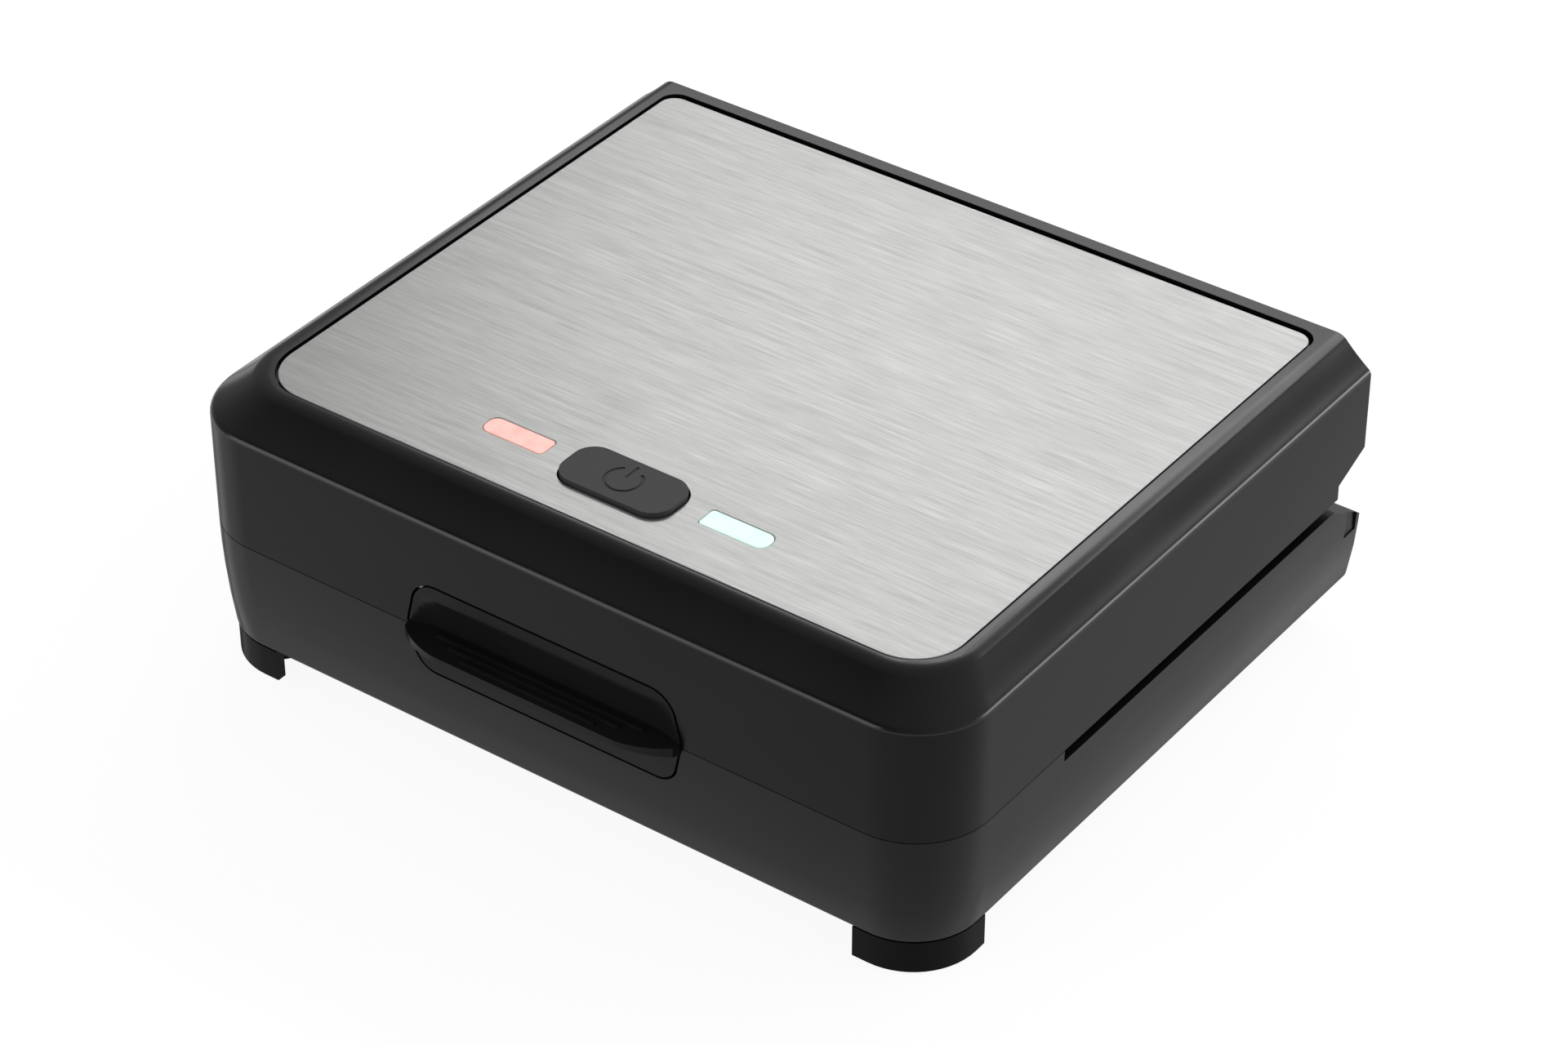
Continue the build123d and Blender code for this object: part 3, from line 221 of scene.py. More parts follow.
def box(name, x0, x1, y0, y1, z0, z1):
    """Plain block between two corners in millimetres, for cutting or joining."""
    mesh = bmesh.new()
    bmesh.ops.create_cube(mesh, size=1.0)
    bmesh.ops.scale(mesh, vec=Vector((x1 - x0, y1 - y0, z1 - z0)) * MM, verts=mesh.verts)
    bmesh.ops.translate(mesh, vec=Vector((x0 + x1, y0 + y1, z0 + z1)) * MM / 2, verts=mesh.verts)
    return object_from(mesh, name)


def prism(name, points, depth, rounded=(), steps=8):
    """Flat outline of points in millimetres, its listed corners rounded, pushed out by depth."""
    mesh = bmesh.new()
    corners = [mesh.verts.new(Vector(p) * MM) for p in points]
    mesh.faces.new(corners)
    for index, radius in rounded:
        round_corners(mesh, [corners[index]], radius, steps)
    pushed = bmesh.ops.extrude_face_region(mesh, geom=mesh.faces[:])
    moved = [v for v in pushed["geom"] if isinstance(v, bmesh.types.BMVert)]
    bmesh.ops.translate(mesh, vec=Vector(depth) * MM, verts=moved)
    bmesh.ops.recalc_face_normals(mesh, faces=mesh.faces)
    return object_from(mesh, name)


def across(name, profile):
    """Side profile of points (y, z), pushed across more than the whole width."""
    return prism(name, [(-PAST_SIDE, y, z) for y, z in profile], (2 * PAST_SIDE, 0, 0))


def rod(name, middle, radius, length, axis):
    """Round bar about a middle point in millimetres, along X, Y or Z."""
    mesh = bmesh.new()
    bmesh.ops.create_cone(mesh, cap_ends=True, segments=48, radius1=radius * MM, radius2=radius * MM,
                          depth=length * MM)
    turn = {"X": Matrix.Rotation(math.radians(90), 3, "Y"), "Y": Matrix.Rotation(math.radians(90), 3, "X"),
            "Z": Matrix.Identity(3)}
    bmesh.ops.rotate(mesh, verts=mesh.verts, cent=(0, 0, 0), matrix=turn[axis])
    bmesh.ops.translate(mesh, vec=Vector(middle) * MM, verts=mesh.verts)
    return object_from(mesh, name)


def combine(piece, others, operation):
    """Cuts the other solids from the piece, joins them to it or keeps what they share, and removes them."""
    for other in others:
        step = piece.modifiers.new("combine", "BOOLEAN")
        step.operation = operation
        step.object = other
        step.solver = "EXACT"
        result = bpy.data.meshes.new_from_object(piece.evaluated_get(bpy.context.evaluated_depsgraph_get()))
        piece.modifiers.clear()
        piece.data = result
        bpy.data.objects.remove(other)


def soften(piece, width, steps=2, angle=32):
    """Rounds the sharp edges and shades the rest smooth."""
    mesh = bmesh.new()
    mesh.from_mesh(piece.data)
    bmesh.ops.remove_doubles(mesh, verts=mesh.verts, dist=MERGE_DISTANCE * MM)
    bmesh.ops.dissolve_limit(mesh, angle_limit=math.radians(FLAT_ANGLE), verts=mesh.verts, edges=mesh.edges)
    mesh.to_mesh(piece.data)
    mesh.free()
    piece.data.shade_smooth()
    edge = piece.modifiers.new("edge", "BEVEL")
    edge.width = width * MM
    edge.segments = steps
    edge.limit_method = "ANGLE"
    edge.angle_limit = math.radians(angle)
    edge.harden_normals = True
    edge.use_clamp_overlap = True
    edge.miter_outer = "MITER_ARC"


def finish(piece, material, slot, body, *stands_for):
    """Gives the piece its material and its body; its slot is not used."""
    piece.data.materials.clear()
    piece.data.materials.append(material)
    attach(piece, body)
    if stands_for:
        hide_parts(*stands_for)


def moulded(name, colours, rough, grain_mm, grain_depth, specular, painted_upper_sheen=None):
    """Injection-moulded thermoplastic with its tool's grain, a faint change in gloss, and a painted sheen
    that is set by the angle of view and can be stronger on faces that look up."""
    material, tree = new_material(name)
    place = add(tree, "TexCoord")
    grain = add(tree, "TexNoise", {"Vector": place.outputs["Object"], "Scale": 1 / (grain_mm * MM),
                                   "Detail": 3.0, "Roughness": 0.6})
    flow = add(tree, "TexNoise", {"Vector": place.outputs["Object"], "Scale": 1 / (FLOW_WIDTH * MM),
                                  "Detail": 2.0})
    gloss = add(tree, "MapRange", {"Value": flow.outputs["Fac"], "From Min": 0.3, "From Max": 0.7,
                                   "To Min": rough - 0.04, "To Max": rough + 0.04})
    tint = add(tree, "ValToRGB", {0: flow.outputs["Fac"]},
               ((0.3, linear(colours[0])), (0.7, linear(colours[1]))))
    bump = add(tree, "Bump", {"Height": grain.outputs["Fac"], "Strength": 0.5, "Distance": grain_depth * MM})
    # Painted sheen: reflection is raised on faces that look up and dimmed where a face is seen at a flat
    # angle, standing in for how the light falls
    normal = add(tree, "NewGeometry").outputs["Normal"]
    own_normal = add(tree, "VectorTransform", {"Vector": normal}, vector_type="NORMAL",
                     convert_from="WORLD", convert_to="OBJECT")
    upward = add(tree, "SeparateXYZ", {"Vector": own_normal.outputs[0]})
    level = add(tree, "MapRange", {"Value": upward.outputs["Z"], "From Min": 0.05, "From Max": 0.25,
                                   "To Min": specular, "To Max": painted_upper_sheen or specular})
    turned = add(tree, "LayerWeight", {"Blend": 0.5})
    painted_grazing_dim = add(tree, "ValToRGB", {0: turned.outputs["Facing"]},
               greys(((0.51, 1.0), (0.60, 0.6), (0.72, 0.6), (0.81, 0.05))))
    painted_sheen = add(tree, "Math", {0: level.outputs[0], 1: painted_grazing_dim.outputs[0]}, operation="MULTIPLY")
    surface = add(tree, "BsdfPrincipled", {"Base Color": tint.outputs[0], "Roughness": gloss.outputs[0],
                                           "IOR": 1.5, "Specular IOR Level": painted_sheen.outputs[0],
                                           "Normal": bump.outputs[0]})
    add(tree, "OutputMaterial", {"Surface": surface.outputs[0]})
    return material


# ABS: near black all through, satin from the tool, so it shows soft bands of light, no mirror
# Painted sheen: the cover reflects more on its faces that look up than on its walls
black_abs = moulded("black_abs_satin_moulded", ("#0E0E0F", "#121213"), 0.23, 0.7, 0.004, 0.14, 0.40)

# The slope bends in from the wall, lies in a shallow hollow and rounds out to the rim
SIDE_SLOPE = 11.75
FRONT_SLOPE = 15.2
LOW_ANGLE = 37.0
HIGH_ANGLE = 46.0
CREASE_RADIUS = 2.5
RIM_RADIUS = 4.6
low, high = math.sin(math.radians(LOW_ANGLE)), math.sin(math.radians(HIGH_ANGLE))
hollow_radius = (SIDE_SLOPE - CREASE_RADIUS * (1 - low) - RIM_RADIUS * high) / (high - low)
arcs = ((CREASE_RADIUS, 90.0, LOW_ANGLE, 10), (hollow_radius, LOW_ANGLE, HIGH_ANGLE, 10),
        (RIM_RADIUS, HIGH_ANGLE, 0.0, 14))
slope = [(0.0, 0.0)]
for radius, start, end, steps in arcs:
    u, w = slope[-1]
    sense = 1 if start > end else -1
    first = math.radians(start)
    for i in range(1, steps + 1):
        turn = math.radians(start + (end - start) * i / steps)
        slope.append((u + sense * radius * (math.sin(first) - math.sin(turn)),
                      w + sense * radius * (math.cos(turn) - math.cos(first))))
CREASE = RIM - slope[-1][1]

lines = [(HALF_WIDTH, FRONT, BACK, FRONT_CORNER, REAR_CORNER, LID_BOTTOM)]
for u, w in slope:
    share = u / SIDE_SLOPE
    lines.append((HALF_WIDTH - u, FRONT + FRONT_SLOPE * share, BACK, FRONT_CORNER - CORNER_LOSS * share,
                  REAR_CORNER, CREASE + w))
lid_cover = stacked("lid_cover_moulding", lines)
combine(lid_cover, [box("behind", -PAST_SIDE, PAST_SIDE, LID_BACK, PAST_BACK, BELOW_LID, ABOVE_LID)],
        "DIFFERENCE")

# Moat round the steel, wider at the back, with a ledge that carries the sheet
STEEL_X = 111.0
STEEL_Y0 = FRONT + 16.6
STEEL_Y1 = STEEL_Y0 + 186.0
STEEL_CORNER = 15.0
STEEL_REAR_CORNER = 5.0
STEEL_TOP = 90.0
STEEL_SHEET = 0.8
MOAT = 0.8
REAR_MOAT = 1.5
MOAT_FLOOR = 88.0


def steel_line(gap, rear_gap, z):
    """Outline of the steel at height z, grown by a gap."""
    return (STEEL_X + gap, STEEL_Y0 - gap, STEEL_Y1 + rear_gap, STEEL_CORNER + gap,
            STEEL_REAR_CORNER + gap, z)


moat = stacked("moat", [steel_line(MOAT, REAR_MOAT, z) for z in (MOAT_FLOOR, MOAT_FLOOR + 4)])
ledge_top = STEEL_TOP - STEEL_SHEET
combine(moat, [stacked("ledge", [steel_line(-MOAT, -MOAT, z) for z in (MOAT_FLOOR - 1, ledge_top)])],
        "DIFFERENCE")
combine(lid_cover, [moat], "DIFFERENCE")

# Underside of the cover: a hollow with a lower ceiling at the edges, and the undercut at the back
INNER_CORNER = 1.0
CEILING = 86.2
CEILING_CORNER = 13.5
inner_back = LID_BACK - WALL
wall_line = (HALF_WIDTH - WALL, FRONT + WALL, inner_back, FRONT_CORNER - WALL, INNER_CORNER)
ceiling_line = (HALF_WIDTH - SIDE_SLOPE + 1, FRONT + FRONT_SLOPE - 1, inner_back, CEILING_CORNER,
                INNER_CORNER)
hollow = stacked("hollow", [wall_line + (LID_BOTTOM - 1,), wall_line + (CREASE - WALL / 3,),
                            ceiling_line + (CEILING,)])
NECK = 94.3
NECK_TOP = 50.8
OVERHANG = 56.6
UNDERCUT_REACH = 12.0
UNDERCUT_FLOOR = 30.0


def undercut(inset):
    """Wedge below the overhang at the back, moved in by a wall thickness."""
    rise = (OVERHANG - NECK_TOP) / (LID_BACK - NECK)
    y = NECK - inset
    z = NECK_TOP + inset * math.hypot(1, rise) - inset * rise
    far = LID_BACK + UNDERCUT_REACH
    profile = [(y, UNDERCUT_FLOOR), (y, z), (far, z + (far - y) * rise), (far, UNDERCUT_FLOOR)]
    return across("undercut", profile)


combine(hollow, [undercut(WALL)], "DIFFERENCE")

# Openings for the button, the lamp windows and the latch, and room for the hinge lugs
BUTTON_Y = -64.6
BUTTON_WIDTH = 36.0
BUTTON_DEPTH = 17.6
BUTTON_RADIUS = 6.4
BUTTON_GAP = 0.35
LENS_X = 36.4
LENS_Y = -63.4
LENS_HALF_LENGTH = 10.5
LENS_HALF_WIDTH = 3.5
LENS_NEAR_CORNER = 1.2
LENS_FAR_CORNER = 2.8
LENS_GAP = 0.15
LATCH_TOP = 61.4
LATCH_LIP = 47.4
LATCH_BOTTOM = 33.0
LATCH_HALF_TOP = 42.0
LATCH_HALF_LIP = 45.4
LATCH_HALF_BOTTOM = 42.2
LATCH_HIGH_CORNER = 6.0
LATCH_LOW_CORNER = 5.0
LATCH_GAP = 0.7
HINGE_X = 70.0
LUG_ROOM = 6.6


def button_shape(grow, z0, z1):
    """Rounded oblong of the button, grown by a gap."""
    x, y = BUTTON_WIDTH / 2 + grow, BUTTON_DEPTH / 2 + grow
    points = [(-x, BUTTON_Y - y, z0), (x, BUTTON_Y - y, z0), (x, BUTTON_Y + y, z0), (-x, BUTTON_Y + y, z0)]
    rounded = [(i, BUTTON_RADIUS + grow) for i in range(4)]
    return prism("button_shape", points, (0, 0, z1 - z0), rounded, 10)


def lens_shape(side, grow, z0, z1):
    """Lamp window: square towards the button and rounder at its far end."""
    x, y = LENS_HALF_LENGTH + grow, LENS_HALF_WIDTH + grow
    middle = side * LENS_X
    points = [(middle - side * x, LENS_Y - y, z0), (middle + side * x, LENS_Y - y, z0),
              (middle + side * x, LENS_Y + y, z0), (middle - side * x, LENS_Y + y, z0)]
    near, far = LENS_NEAR_CORNER + grow, LENS_FAR_CORNER + grow
    return prism("lens_shape", points, (0, 0, z1 - z0), enumerate((near, far, far, near)))


def latch_shape(grow, y0, y1):
    """Six-sided front outline of the latch, widest at the lip, with round top and bottom corners."""
    top, middle, bottom = LATCH_HALF_TOP + grow, LATCH_HALF_LIP + grow, LATCH_HALF_BOTTOM + grow
    points = [(-top, y0, LATCH_TOP + grow), (top, y0, LATCH_TOP + grow), (middle, y0, LATCH_LIP),
              (bottom, y0, LATCH_BOTTOM - grow), (-bottom, y0, LATCH_BOTTOM - grow), (-middle, y0, LATCH_LIP)]
    high_corner, low_corner = LATCH_HIGH_CORNER + grow, LATCH_LOW_CORNER + grow
    rounded = [(0, high_corner), (1, high_corner), (3, low_corner), (4, low_corner)]
    return prism("latch_shape", points, (0, y1 - y0, 0), rounded)


def top_openings():
    """Cutters for the button and both lamp windows, down through the top."""
    return [button_shape(BUTTON_GAP, BELOW_TOP, ABOVE_LID)] + [
        lens_shape(side, LENS_GAP, BELOW_TOP, ABOVE_LID) for side in (-1, 1)]


gaps = [box("gap", side * HINGE_X - LUG_ROOM, side * HINGE_X + LUG_ROOM, NECK - WALL - 1, NECK + 1,
            BELOW_LID, NECK_TOP + 0.2) for side in (-1, 1)]
windows = top_openings() + [latch_shape(LATCH_GAP, FRONT - 2, FRONT + WALL + 2)]
combine(lid_cover, [hollow, undercut(0)] + gaps + windows, "DIFFERENCE")
soften(lid_cover, 0.35)
finish(lid_cover, black_abs, "black_plastic", "lid", "lid_cover")


# Steel plate: 0.8 mm stainless sheet, stamped out, brushed along its length on a belt and
# held in the cover's groove, with a dark gap all round it.
LINE_LENGTH = 16.0
LINE_SPACING = 0.36
BAND_LENGTH = 60.0
BAND_SPACING = 1.6
LINE_DEPTH = 0.03
brushed, tree = new_material("stainless_sheet_belt_brushed")
place = add(tree, "TexCoord")
# Belt lines are about 0.05 mm apart; they are drawn seven times coarser so that they show
fine = add(tree, "Mapping", {"Vector": place.outputs["Object"],
                             "Scale": (1 / (LINE_LENGTH * MM), 1 / (LINE_SPACING * MM), 1.0)})
fine_lines = add(tree, "TexNoise", {"Vector": fine.outputs[0], "Scale": 1.0, "Detail": 4.0,
                                    "Roughness": 0.65})
broad = add(tree, "Mapping", {"Vector": place.outputs["Object"],
                              "Scale": (1 / (BAND_LENGTH * MM), 1 / (BAND_SPACING * MM), 1.0)})
broad_lines = add(tree, "TexNoise", {"Vector": broad.outputs[0], "Scale": 1.0, "Detail": 3.0,
                                     "Roughness": 0.5})
lines = add(tree, "Math", {0: fine_lines.outputs["Fac"], 1: 0.7}, operation="MULTIPLY")
lines = add(tree, "Math", {0: broad_lines.outputs["Fac"], 1: 0.3, 2: lines.outputs[0]},
            operation="MULTIPLY_ADD")
tone = add(tree, "ValToRGB", {0: lines.outputs[0]}, ((0.36, linear("#A4A4A3")), (0.62, linear("#BABAB9"))))
gloss = add(tree, "MapRange", {"Value": lines.outputs[0], "From Min": 0.35, "From Max": 0.65,
                               "To Min": 0.38, "To Max": 0.34})
# Light spreads across the brush lines; they run along X, also when the lid is lifted about X
along = add(tree, "CombineXYZ", {"X": 1.0})
bump = add(tree, "Bump", {"Height": lines.outputs[0], "Strength": 0.12, "Distance": LINE_DEPTH * MM})
surface = add(tree, "BsdfPrincipled", {"Base Color": tone.outputs[0], "Metallic": 1.0,
                                       "Roughness": gloss.outputs[0], "Anisotropic": 0.6,
                                       "Anisotropic Rotation": 0.25, "Tangent": along.outputs[0],
                                       "Normal": bump.outputs[0]})
add(tree, "OutputMaterial", {"Surface": surface.outputs[0]})

steel = stacked("steel_plate_brushed", [steel_line(0, 0, z) for z in (ledge_top, STEEL_TOP)])
combine(steel, top_openings(), "DIFFERENCE")
soften(steel, 0.3)
finish(steel, brushed, "brushed_steel", "lid", "steel_top_plate")


# Push button: dark grey ABS cap, slightly proud of the steel, with a generic on-off sign cut
# into it. A flange below the cover keeps it in, and a stem reaches down to the switch.
BUTTON_TOP = 91.4
BUTTON_BOTTOM = 84.1
FLANGE = 1.6
FLANGE_TOP = 85.9
STEM_RADIUS = 3.0
STEM_LENGTH = 1.8
STEM_MIDDLE = 83.3
SIGN_RADIUS = 5.2
SIGN_STROKE = 0.9
SIGN_DEPTH = 0.35
BAR_START = 1.1
BAR_END = 6.6
MOUTH = math.radians(33)
# The cap has a dark grey pigment and a deeper, matt grain, so that it reads apart from the cover
grey_abs = moulded("dark_grey_abs_moulded", ("#3C3C3D", "#434344"), 0.46, 0.6, 0.010, 0.25)
button = button_shape(0, BUTTON_BOTTOM, BUTTON_TOP)
mesh = bmesh.new()
inner, outer = SIGN_RADIUS - SIGN_STROKE / 2, SIGN_RADIUS + SIGN_STROKE / 2
section = [mesh.verts.new(Vector((0, r, z)) * MM)
           for r, z in ((inner, -SIGN_DEPTH), (outer, -SIGN_DEPTH), (outer, 1), (inner, 1))]
mesh.faces.new(section)
bmesh.ops.rotate(mesh, verts=section, cent=(0, 0, 0), matrix=Matrix.Rotation(-MOUTH, 3, "Z"))
bmesh.ops.spin(mesh, geom=mesh.verts[:] + mesh.edges[:] + mesh.faces[:], cent=(0, 0, 0), axis=(0, 0, -1),
               angle=2 * (math.pi - MOUTH), steps=44, use_duplicate=False)
bmesh.ops.recalc_face_normals(mesh, faces=mesh.faces)
bmesh.ops.translate(mesh, vec=Vector((0, BUTTON_Y, BUTTON_TOP)) * MM, verts=mesh.verts)
ring_cut = object_from(mesh, "sign_ring")
bar_cut = box("sign_bar", -SIGN_STROKE / 2, SIGN_STROKE / 2, BUTTON_Y + BAR_START, BUTTON_Y + BAR_END,
              BUTTON_TOP - SIGN_DEPTH, BUTTON_TOP + 1)
combine(button, [ring_cut, bar_cut], "DIFFERENCE")
flange = button_shape(FLANGE, BUTTON_BOTTOM, FLANGE_TOP)
stem = rod("stem", (0, BUTTON_Y, STEM_MIDDLE), STEM_RADIUS, STEM_LENGTH, "Z")
combine(button, [flange, stem], "UNION")
soften(button, 0.3, 3, 40)
finish(button, grey_abs, "button_plastic", "button", "power_button")


# Lamp windows: translucent acrylic, flush with the steel and clipped in from below, salmon on the left and
# mint on the right. Their even glow is painted on as emission in the window, standing in for the lamps
# behind.
LENS_BOTTOM = 84.7
LENS_FLANGE = 1.5
LENS_FLANGE_TOP = 86.2
CLOUD_WIDTH = 3.846


def window_acrylic(name, face, deep, painted_glow, strength):
    """Tinted acrylic with a faint cloud of deeper colour, and a painted glow that stands in for the lamp
    behind it.
    """
    material, tree = new_material(name)
    place = add(tree, "TexCoord")
    cloud = add(tree, "TexNoise", {"Vector": place.outputs["Object"], "Scale": 1 / (CLOUD_WIDTH * MM),
                                   "Detail": 2.0})
    tint = add(tree, "ValToRGB", {0: cloud.outputs["Fac"]}, ((0.30, linear(deep)), (0.62, linear(face))))
    surface = add(tree, "BsdfPrincipled", {"Base Color": tint.outputs[0], "Roughness": 0.28, "IOR": 1.49,
                                           "Emission Color": linear(painted_glow), "Emission Strength": strength})
    add(tree, "OutputMaterial", {"Surface": surface.outputs[0]})
    return material


# The last two values are the colour and strength of the painted glow
red_acrylic = window_acrylic("salmon_acrylic_translucent", "#F9C6BC", "#F5B3A7", "#FFB5A8", 0.42)
green_acrylic = window_acrylic("mint_acrylic_translucent", "#DFF7EE", "#CDF0E3", "#E0FFF6", 0.42)
for side, name, material in ((-1, "red", red_acrylic), (1, "green", green_acrylic)):
    lens = lens_shape(side, 0, LENS_BOTTOM, STEEL_TOP)
    combine(lens, [lens_shape(side, LENS_FLANGE, LENS_BOTTOM, LENS_FLANGE_TOP)], "UNION")
    lens.name = name + "_lamp_window"
    soften(lens, 0.3, 3)
    finish(lens, material, name + "_lens", "lid", name + "_lens")


# Base shell: black ABS moulding, open above and below, whose walls draw in towards the table
# and round under. It holds the hinge pockets, the latch pocket and a sloping deck at the back.
BASE_TOP = 46.0
BASE_WALL = 2.6
BASE_LEVELS = ((BASE_TOP, 0.0), (38.0, 0.15), (30.0, 0.55), (22.0, 1.2), (14.5, 2.1), (12.1, 2.4),
               (11.4, 2.62), (10.95, 3.0), (10.68, 3.45), (10.6, 3.9))
STRAIGHT_LEVELS = 6
OPENING_INSET = 5.0
BELOW_BASE = 9.0
ABOVE_BASE = 51.0


def base_line(inset, z):
    """Outline of the base at height z, drawn in by inset."""
    return (HALF_WIDTH - inset, FRONT + inset, BACK - inset, FRONT_CORNER - inset, max(2 - inset, 0.6), z)


def base_block(name):
    """The base's outer form as a solid."""
    return stacked(name, [base_line(inset, z) for z, inset in reversed(BASE_LEVELS)])


# The base is a shade lighter black than the lid, with the coarser grain of the two
base_abs = moulded("black_abs_grained_moulded", ("#141415", "#19191A"), 0.30, 0.9, 0.006, 0.165)

base_shell = base_block("base_shell_moulding")
inside = [base_line(OPENING_INSET, BELOW_BASE)]
inside += [base_line(inset + BASE_WALL, z) for z, inset in reversed(BASE_LEVELS[:STRAIGHT_LEVELS])]
inside.append(base_line(BASE_WALL, BASE_TOP + 2))
hollow = stacked("hollow", inside)

# The deck falls towards the back and runs out in a round edge above the rear wall
DECK = 93.1
DECK_TOP = 42.0
DECK_FALL = 0.5548
DECK_EDGE = ((107.6, 0.0), (108.6, 0.15), (109.4, 0.6), (109.95, 1.3), (110.25, 2.4))
DECK_END = 110.3
DECK_CUT_FLOOR = 20.0


def behind_deck(y0, drop):
    """All that lies above the sloping deck, lowered by a thickness."""
    low = DECK_TOP - drop
    profile = [(y0, ABOVE_BASE), (y0, low)] + ([] if y0 == DECK else [(DECK, low)])
    profile += [(y, low - (y - DECK) * DECK_FALL - below) for y, below in DECK_EDGE]
    profile += [(DECK_END, DECK_CUT_FLOOR), (PAST_BACK, DECK_CUT_FLOOR), (PAST_BACK, ABOVE_BASE)]
    return across("behind_deck", profile)


combine(hollow, [behind_deck(DECK - BASE_WALL, BASE_WALL * math.hypot(1, DECK_FALL))], "DIFFERENCE")

# A slot along both sides and over the inside lets steam out between the base and the lid
SLOT_INSIDE = 118.0
SLOT_FRONT = -43.2
SLOT_FLOOR = 42.5
slots = [box("slot", x0, x1, SLOT_FRONT, y1, SLOT_FLOOR, ABOVE_BASE)
         for x0, x1, y1 in ((-PAST_SIDE, -SLOT_INSIDE, PAST_BACK), (SLOT_INSIDE, PAST_SIDE, PAST_BACK),
                            (-SLOT_INSIDE - 1, SLOT_INSIDE + 1, DECK - BASE_WALL))]
combine(base_shell, [hollow, behind_deck(DECK, 0)] + slots, "DIFFERENCE")

# Pockets for the hinge lugs, with a shallow recess outside each at the rear corners
LUG_ROOM_FRONT = 86.5
LUG_ROOM_BACK = 107.0
LUG_ROOM_FLOOR = 29.8
POCKET_WALL = 2.4
POCKET_BACK = 107.7
POCKET_TOP = 42.3
RECESS = 1.1
RECESS_FRONT = 100.9
RECESS_BACK = BACK - 3.3
RECESS_FLOOR = 28.6
ABOVE_RECESS = 60.0
for side in (-1, 1):
    x = side * HINGE_X
    half_pocket = LUG_ROOM + POCKET_WALL
    pocket = box("hinge_pocket", x - half_pocket, x + half_pocket, LUG_ROOM_FRONT - POCKET_WALL, POCKET_BACK,
                 LUG_ROOM_FLOOR - POCKET_WALL, POCKET_TOP)
    combine(pocket, [behind_deck(DECK, 0)], "DIFFERENCE")
    combine(base_shell, [pocket], "UNION")
    corner = sorted((side * (HALF_WIDTH - RECESS), side * PAST_SIDE))
    cuts = [box("lug_room", x - LUG_ROOM, x + LUG_ROOM, LUG_ROOM_FRONT, LUG_ROOM_BACK, LUG_ROOM_FLOOR,
                ABOVE_RECESS),
            box("corner_recess", corner[0], corner[1], RECESS_FRONT, RECESS_BACK, RECESS_FLOOR, ABOVE_RECESS)]
    combine(base_shell, cuts, "DIFFERENCE")

# Pocket for the latch with a window for each hook, and the hole of the cord's rubber bush
LATCH_POCKET_HALF = 48.6
LATCH_POCKET_BACK = -94.4
LATCH_POCKET_FLOOR = 30.0
LATCH_ROOM_BACK = -96.9
HOOK_X = 22.0
WINDOW_HALF = 5.0
WINDOW_FLOOR = 33.5
WINDOW_TOP = 38.3
BUSH_X = 48.0
BUSH_Z = 22.5
BUSH_RADIUS = 6.52
combine(base_shell, [box("latch_pocket", -LATCH_POCKET_HALF, LATCH_POCKET_HALF, FRONT + 1, LATCH_POCKET_BACK,
                         LATCH_POCKET_FLOOR, DECK_TOP)], "UNION")
cuts = [latch_shape(LATCH_GAP, FRONT - 5, LATCH_ROOM_BACK),
        rod("bush_hole", (BUSH_X, BACK - 3, BUSH_Z), BUSH_RADIUS, 16, "Y")]
for x in (-HOOK_X, HOOK_X):
    cuts.append(box("hook_window", x - WINDOW_HALF, x + WINDOW_HALF, LATCH_ROOM_BACK - 1,
                    LATCH_POCKET_BACK + 1, WINDOW_FLOOR, WINDOW_TOP))
combine(base_shell, cuts, "DIFFERENCE")
soften(base_shell, 0.35)
finish(base_shell, base_abs, "black_plastic", "base", "base_shell")


# Latch: black ABS, hung on a steel pin inside it. The lower half lies flush with the base, the
# upper half is hollowed for the fingers, and a ribbed lip stands out between them.
LATCH_THICK = 3.2
PAST_LATCH = 60.0
BELOW_LATCH = 20.0
SHAVED_TO = 46.1
BACKING_HALF = 38.0
BACKING_LAP = 2.2
BACKING_DEPTH = 5.6
BACKING_FLOOR = 47.1
BACKING_TOP = 57.4
# A duller tool than the cover's, so the latch shows no clear band of light
dull_abs = moulded("black_abs_dull_moulded", ("#1C1C1D", "#222223"), 0.34, 0.8, 0.008, 0.09)
latch = latch_shape(0, FRONT, FRONT + LATCH_THICK)
latch.name = "latch_moulding"
shaver = box("shaver", -PAST_LATCH, PAST_LATCH, FRONT - 5, FRONT + 5, BELOW_LATCH, SHAVED_TO)
combine(shaver, [base_block("base_form")], "DIFFERENCE")
combine(latch, [shaver], "DIFFERENCE")
combine(latch, [box("backing", -BACKING_HALF, BACKING_HALF, FRONT + BACKING_LAP, FRONT + BACKING_DEPTH,
                    BACKING_FLOOR, BACKING_TOP)], "UNION")

# Hollow for the fingers: a ball stretched along the latch, of which only the upper half cuts
SCOOP_RADIUS = 30.0
SCOOP_DEPTH = 1.8
SCOOP_HALF = 34.0
PAST_SCOOP = 70.0
BEFORE_LIP = -150.0
BEHIND_FACE = -80.0
ABOVE_LATCH = 90.0
mesh = bmesh.new()
bmesh.ops.create_uvsphere(mesh, u_segments=96, v_segments=48, radius=SCOOP_RADIUS * MM)
bmesh.ops.rotate(mesh, verts=mesh.verts, cent=(0, 0, 0), matrix=Matrix.Rotation(math.radians(90), 3, "Y"))
for side in (-1, 1):
    half = [v for v in mesh.verts if side * v.co.x > MERGE_DISTANCE * MM]
    bmesh.ops.translate(mesh, vec=(side * SCOOP_HALF * MM, 0, 0), verts=half)
scoop_middle = Vector((0, FRONT - SCOOP_RADIUS + SCOOP_DEPTH, LATCH_LIP))
bmesh.ops.translate(mesh, vec=scoop_middle * MM, verts=mesh.verts)
scoop = object_from(mesh, "scoop")
combine(scoop, [box("above_lip", -PAST_SCOOP, PAST_SCOOP, BEFORE_LIP, BEHIND_FACE, LATCH_LIP, ABOVE_LATCH)],
        "INTERSECT")
combine(latch, [scoop], "DIFFERENCE")

